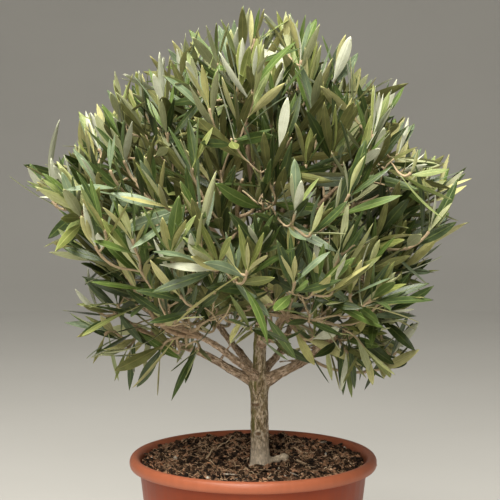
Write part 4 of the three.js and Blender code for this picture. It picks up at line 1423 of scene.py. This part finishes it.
tone = mix(blade_effect, ramp(blade_effect, patchy, 0.36, 0.64), given["Blade"], given["Patch"])
for mask, strength, socket in (
    (flecks, given["Fleck Share"], "Fleck"), (veins, 0.10, "Midrib"), (midrib, 0.65, "Midrib"),
    (margin, 0.65, "Margin"), (both_ends, 0.55, "Margin"),
):
    tone = over_blade(tone, mask, strength, socket)
feed(blade_effect, handed, {
    "Colour": tone, "Height": on_blade("MULTIPLY_ADD", veins, -0.25, on_blade("MULTIPLY", midrib, -1.0)),
    "Mask": patchy,
})


def leaf_finish(name, blade, patch, midrib, margin, fleck, fleck_share, roughness, sheen):
    """One tint of one side of the leaves. The midrib is sunk above, and stands up beneath."""
    material, tree, shader = new_finish(
        name, Specular_IOR_Level=0.4, Sheen_Weight=sheen, Sheen_Roughness=0.45,
        Sheen_Tint=colour(0.92, 0.95, 0.88))
    drawn = place_effect(tree, blade_effect, Blade=colour(*blade), Patch=colour(*patch),
                         Midrib=colour(*midrib), Margin=colour(*margin), Fleck=colour(*fleck),
                         Fleck_Share=fleck_share).outputs
    feed(tree, shader, {
        "Base Color": drawn["Colour"],
        "Roughness": maths(tree, "MULTIPLY_ADD", drawn["Mask"], 0.16, roughness - 0.08),
        "Normal": bump(tree, 0.5, 0.0004, drawn["Height"], invert=name.endswith("beneath")),
    })
    return material


# Blade, patches, midrib, margin and flecks, then the flecks' share, roughness and sheen.
upper_finishes = [leaf_finish(f"leaf, {name} above", *tint) for name, *tint in (
    ("dark green", (0.034, 0.060, 0.017), (0.057, 0.087, 0.028), (0.170, 0.220, 0.055),
     (0.110, 0.150, 0.028), (0.080, 0.120, 0.034), 0.25, 0.36, 0.03),
    ("mid green", (0.066, 0.113, 0.020), (0.094, 0.147, 0.031), (0.240, 0.300, 0.092),
     (0.180, 0.225, 0.055), (0.135, 0.188, 0.055), 0.25, 0.38, 0.03),
    ("grey-green", (0.101, 0.147, 0.079), (0.150, 0.201, 0.118), (0.290, 0.340, 0.181),
     (0.230, 0.280, 0.108), (0.220, 0.270, 0.153), 0.35, 0.40, 0.08),
    ("olive green", (0.145, 0.170, 0.042), (0.192, 0.216, 0.060), (0.360, 0.380, 0.130),
     (0.300, 0.305, 0.085), (0.235, 0.262, 0.088), 0.25, 0.40, 0.03),
    ("young green", (0.185, 0.232, 0.078), (0.240, 0.288, 0.104), (0.420, 0.470, 0.165),
     (0.350, 0.385, 0.130), (0.310, 0.370, 0.135), 0.2, 0.40, 0.03),
    # The last tint is darker than age alone makes a leaf: partly old leaf, partly painted shade for leaves
    # deep in the crown.
    ("old and shade-painted dark", (0.020, 0.036, 0.006), (0.034, 0.056, 0.010), (0.100, 0.120, 0.028),
     (0.060, 0.080, 0.016), (0.050, 0.070, 0.018), 0.2, 0.40, 0.02),
)]
lower_finishes = [leaf_finish(f"leaf, {name} beneath", *tint) for name, *tint in (
    ("grey-green", (0.300, 0.320, 0.158), (0.370, 0.390, 0.210), (0.460, 0.470, 0.260),
     (0.430, 0.440, 0.183), (0.520, 0.530, 0.327), 0.5, 0.66, 0.12),
    ("khaki", (0.385, 0.370, 0.148), (0.460, 0.440, 0.200), (0.570, 0.550, 0.260),
     (0.540, 0.520, 0.186), (0.600, 0.580, 0.315), 0.5, 0.68, 0.12),
    ("silver", (0.530, 0.550, 0.400), (0.620, 0.640, 0.500), (0.700, 0.710, 0.550),
     (0.620, 0.640, 0.400), (0.760, 0.780, 0.680), 0.6, 0.62, 0.15),
    ("tan", (0.310, 0.300, 0.103), (0.385, 0.370, 0.142), (0.480, 0.440, 0.181),
     (0.460, 0.420, 0.138), (0.500, 0.460, 0.224), 0.5, 0.68, 0.10),
    ("young", (0.450, 0.480, 0.187), (0.530, 0.550, 0.258), (0.620, 0.640, 0.316),
     (0.570, 0.590, 0.228), (0.640, 0.660, 0.396), 0.4, 0.64, 0.12),
    # The last tint is duller than age alone makes a leaf: partly old leaf, partly painted shade for leaves
    # deep in the crown.
    ("old and shade-painted dull", (0.095, 0.104, 0.027), (0.135, 0.145, 0.041), (0.240, 0.220, 0.071),
     (0.200, 0.180, 0.052), (0.240, 0.220, 0.084), 0.4, 0.70, 0.05),
)]

dealing = np.random.default_rng(7)


def deal(weights):
    return int(dealing.choice(len(weights), p=np.array(weights) / sum(weights)))


# The tints go by spray: most leaves of a shoot share one, low ones get darker tints as painted shade, high
# ones paler tints as painted light, and young ends yellower. Each tint is dealt by its weight, in the
# order above.
middling_above, middling_beneath = (0.32, 0.30, 0.24, 0.12, 0.02), (0.30, 0.32, 0.12, 0.22, 0.04)
shaded_above, shaded_beneath = (0.48, 0.12, 0.12, 0, 0, 0.28), (0.24, 0.16, 0.02, 0.28, 0, 0.30)
sunlit_above, sunlit_beneath = (0, 0.2, 0.5, 0.1, 0.2), (0.36, 0.28, 0.36, 0, 0)
olive_and_silver, young, old_and_shade_painted = (3, 2), (4, 4), (5, 5)
for leaf in grown:
    spray = np.random.default_rng(int(leaf["spray"] * 1e9))
    upper_of_spray = int(spray.choice(5, p=(0.28, 0.30, 0.24, 0.14, 0.04)))
    lower_of_spray = int(spray.choice(5, p=(0.28, 0.32, 0.14, 0.22, 0.04)))
    upper = upper_of_spray if dealing.random() < 0.6 else deal(middling_above)
    lower = lower_of_spray if dealing.random() < 0.6 else deal(middling_beneath)
    # Low leaves: darker tints, as painted shade.
    if leaf["height"] < 0.36 and dealing.random() < 0.8:
        upper, lower = deal(shaded_above), deal(shaded_beneath)
    # High leaves: paler tints, as painted light.
    if leaf["height"] > 0.52 and dealing.random() < 0.72:
        upper, lower = deal(sunlit_above), deal(sunlit_beneath)
        leaf["is_inner"] = False
    if leaf["age"] < 2 and dealing.random() < 0.26:
        upper, lower = young if dealing.random() < 0.4 else olive_and_silver
    # Leaves deep inside mostly take the last, darkest tints: partly old leaf, partly painted shade.
    if dealing.random() < (0.75 if leaf["is_inner"] else 0.10 * min(leaf["age"] / 4, 1)):
        upper, lower = old_and_shade_painted
    leaf["upper"], leaf["lower"] = upper, lower

# A twig's map runs round it from 0 to 1, and up from its thick old end to its thin young one.
twig_bark, tree, shader = new_finish("young twig bark", Roughness=0.74, Specular_IOR_Level=0.35)
map_place = node(tree, "ShaderNodeUVMap", uv_map="OFBake").outputs[0]
round_twig, youth, _ = node(tree, "ShaderNodeSeparateXYZ", {0: map_place}).outputs
twig_way = node(tree, "ShaderNodeCombineXYZ", {
    0: maths(tree, "MULTIPLY", round_twig, 0.006), 2: maths(tree, "MULTIPLY", youth, 0.18),
}).outputs[0]
old_twig = place_effect(tree, bark_effect, Way=twig_way, Flake=colour(0.36, 0.265, 0.165),
                        Furrow=colour(0.15, 0.098, 0.056), Warm=colour(0.42, 0.290, 0.185),
                        Furrow_Depth=0.8).outputs
young_twig = place_effect(tree, bark_effect, Way=twig_way, Flake=colour(0.46, 0.365, 0.225),
                          Furrow=colour(0.26, 0.190, 0.105), Warm=colour(0.50, 0.370, 0.235),
                          Furrow_Depth=0.4).outputs
feed(tree, shader, {
    "Base Color": mix(tree, ramp(tree, youth, 0.25, 0.80), old_twig["Colour"], young_twig["Colour"]),
    "Roughness": maths(tree, "MULTIPLY_ADD", old_twig["Mask"], 0.12, 0.68),
    "Normal": bump(tree, 0.4, 0.0003, old_twig["Height"]),
})


def set_map(mesh, corners_u, corners_v):
    layer = mesh.uv_layers.new(name="OFBake")
    layer.data.foreach_set("uv", np.stack([corners_u, corners_v], 1).astype(np.float32).ravel())


twig_sides = 7


def twigs_piece(name, wood):
    """All twigs of one part of the crown as one piece, with a swelling at each pair of leaves."""
    parts, ages = [], []
    parents = {twig["from"] for twig in wood}
    for i, twig in enumerate(wood):
        # Leafless twigs are kept only deep in the crown, or where others grow from them.
        if twig.get("is_bare") and i not in parents and not in_crown(twig["line"][-1], -0.050):
            continue
        length = np.linalg.norm(np.diff(twig["line"], axis=0), axis=1).sum()
        count = max(8, min(44, int(length / 0.0026)))
        line = spaced(twig["line"], count)
        share = np.linspace(0, 1, count)
        radii = 0.00016 + np.interp(share, np.linspace(0, 1, len(twig["radii"])), twig["radii"])
        for at in twig.get("nodes", ()):
            radii = radii * (1 + 0.38 * np.exp(-(((share - at) * length / 0.0014) ** 2)))
        parts.append(tube(line, radii, twig_sides))
        age = np.clip(1 - (radii - 0.0008) / 0.0016, 0.03, 0.97)
        ages.append(np.concatenate([np.repeat(age, twig_sides), [age[0], age[-1]]]))
    points, quads, triangles = joined(parts)
    piece = new_piece(name, points, [quads, triangles], [twig_bark])
    # Around the twig the map's u follows the corner's side; a cap's middle is at the side's middle.
    ages = np.concatenate(ages)
    side_u = np.concatenate([
        np.concatenate([np.tile(np.arange(twig_sides), (len(p) - 2) // twig_sides), [-1, -1]])
        for p, _, _ in parts
    ])
    quad_u = side_u[quads].astype(float)
    wraps = quad_u.max(1) - quad_u.min(1) > 1.5
    quad_u[wraps] = np.where(quad_u[wraps] == 0, twig_sides, quad_u[wraps])
    tri_u = side_u[triangles].astype(float)
    rim = tri_u[:, 1:]
    wraps = np.abs(rim[:, 0] - rim[:, 1]) > 1.5
    rim[wraps] = np.where(rim[wraps] == 0, twig_sides, rim[wraps])
    tri_u[:, 0] = rim.mean(1)
    tri_v = ages[triangles]
    tri_v[:, 0] += np.where(tri_v[:, 0] > 0.5, 0.02, -0.02)
    set_map(piece.data, np.concatenate([quad_u.ravel(), tri_u.ravel()]) / twig_sides,
            np.clip(np.concatenate([ages[quads].ravel(), tri_v.ravel()]), 0, 1))


def leaves_piece(name, leaves):
    """The leaves of one part of the crown as one piece."""
    count = len(leaves)
    shaping = np.random.default_rng(count)

    def gathered(key):
        return np.array([leaf[key] for leaf in leaves])

    length, width = gathered("length"), gathered("width")
    share = blade_rings[None, :]
    stalk = 0.075
    q = np.clip((share - stalk) / (1 - stalk), 0, 1)
    breadth = (width / length - leaf_widths[0]) / (leaf_widths[1] - leaf_widths[0])
    widest = (0.47 + 0.14 * breadth + shaping.uniform(-0.04, 0.05, count))[:, None]
    tip_power = (1.10 - 0.36 * breadth + shaping.uniform(-0.10, 0.10, count))[:, None]
    base_power = tip_power * widest / (1 - widest)
    peak = widest**base_power * (1 - widest) ** tip_power
    outline = q**base_power * (1 - q) ** tip_power / peak
    half_width = np.maximum(outline * width[:, None] / 2, 0.00055 * (1 - 0.2 * share))
    thickness = np.where(share < stalk + 0.02, 0.0011, 0.00052) * (length[:, None] / 0.05)
    fold = shaping.uniform(0.02, 0.42, count) * np.where(gathered("age") < 2, 1.3, 1.0)
    points, quads, triangles = blades(
        gathered("root"), gathered("along"), gathered("face"), length, half_width, thickness,
        arch=gathered("arch"), twist=shaping.normal(0, 0.24, count),
        sickle=shaping.normal(0, 0.14, count), fold=fold, roll=shaping.uniform(0.04, 0.16, count))
    # The corners of one blade: its rings, then its root and its tip.
    bands, ring = len(blade_rings) - 1, len(ring_across)
    size = len(blade_rings) * ring + 2
    corner = np.arange(size)
    across = np.where(corner < size - 2, ring_across[corner % ring], 0.0)
    place_along = np.where(corner < size - 2, blade_rings[np.minimum(corner // ring, bands)], 0.0)
    place_along[-1] = 1.0
    place_along[:ring] += 0.004
    upper, lower = gathered("upper")[:, None], gathered("lower")[:, None]
    slots, map_u, map_v = [], [], []
    for faces, rows in ((quads[:bands * ring], bands), (triangles[:2 * ring], 2)):
        is_upper = np.tile(np.arange(ring) < ring // 2, rows)[None]
        tint = np.where(is_upper, upper, lower)
        u, v = leaf_map(tint[..., None], across[faces][None], place_along[faces][None])
        v = np.broadcast_to(v + sides_apart * ~is_upper[..., None], u.shape)
        slots.append((tint + tint_columns * ~is_upper).ravel())
        map_u.append(u.ravel())
        map_v.append(v.ravel())
    piece = new_piece(name, points, [quads, triangles], upper_finishes + lower_finishes,
                      np.concatenate(slots))
    mesh = piece.data
    set_map(mesh, np.concatenate(map_u), np.concatenate(map_v))
    # The margins stay crisp: the two sides of the blade don't share their shading there.
    ends = np.empty(len(mesh.edges) * 2, np.int32)
    mesh.edges.foreach_get("vertices", ends)
    ends = ends.reshape(-1, 2) % size
    on_margin = (ends % (ring // 2) == 0) & (ends < size - 2)
    is_margin = on_margin.all(1) & (ends[:, 0] % ring == ends[:, 1] % ring)
    sharp = mesh.attributes.new("sharp_edge", "BOOLEAN", "EDGE")
    sharp.data.foreach_set("value", is_margin)
    return piece


for name in hearts:
    twigs_piece("twigs_" + name, wood_of[name])
    spray_piece = leaves_piece("leaves_" + name, [leaf for leaf in grown if leaf["mass"] == name])
    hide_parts("foliage_" + name)

# ------------------------------------------------------------------ floor and light
# A wide pale studio floor that curves up far behind on every side, under one large soft light
# above and a little to the left, with a weaker one in front.
floor_level = -0.0004
floor_reach, bend_radius, wall_top = 2.6, 2.2, 6.0
floor_sides = 96
sweep = np.array([(0, floor_level), (floor_reach, floor_level)] + [
    (floor_reach + bend_radius * math.sin(a), bend_radius * (1 - math.cos(a)) + floor_level)
    for a in np.linspace(0, np.pi / 2, 13)
] + [(floor_reach + bend_radius, wall_top)])
turns = around(floor_sides)
ring = np.stack([np.cos(turns), np.sin(turns)], 1)
floor_points = np.concatenate([[(0, 0, floor_level)]] + [
    np.concatenate([ring * r, np.full((floor_sides, 1), z)], 1) for r, z in sweep[1:]
])
first_ring = 1 + np.arange(floor_sides)
floor_faces = [(0, a, b) for a, b in zip(first_ring.tolist(), np.roll(first_ring, -1).tolist())]
floor_faces += (1 + ring_faces(len(sweep) - 1, floor_sides)[0]).tolist()
floor_mesh = bpy.data.meshes.new("floor")
floor_mesh.from_pydata(floor_points.tolist(), [], floor_faces)
floor_mesh.shade_smooth()
paper, tree, shader = new_finish("pale studio floor", Roughness=0.9, Specular_IOR_Level=0.1)
tint = place_effect(tree, mottling, Place=own_place(tree), Size=0.9, Sharpness=0.5,
                    Low=colour(0.46, 0.45, 0.43), High=colour(0.49, 0.48, 0.46))
feed(tree, shader, {"Base Color": tint.outputs["Colour"]})
floor_mesh.materials.append(paper)
floor = bpy.data.objects.new("floor", floor_mesh)
bpy.context.scene.collection.objects.link(floor)


def soft_light(name, place, aim, size, power, tint):
    lamp = bpy.data.lights.new(name, "AREA")
    lamp.shape = "DISK"
    lamp.size = size
    lamp.energy = power
    lamp.color = tint
    lit = bpy.data.objects.new(name, lamp)
    lit.location = place
    lit.rotation_euler = (Vector(aim) - Vector(place)).to_track_quat("-Z", "Y").to_euler()
    bpy.context.scene.collection.objects.link(lit)


soft_light("overcast_sky", (-0.4, -1.0, 2.5), (0, 0, 0.4), 1.4, 138, (1.0, 0.975, 0.90))
soft_light("window_front", (-0.4, -2.3, 1.5), (0, 0, 0.35), 1.2, 30, (1.0, 0.965, 0.88))
world = bpy.data.worlds.new("pale sky")
world.use_nodes = True
sky = world.node_tree.nodes["Background"]
feed(world.node_tree, sky, {"Color": colour(1.0, 0.97, 0.89), "Strength": 0.145})
bpy.context.scene.world = world
bpy.context.scene.view_settings.view_transform = "Standard"
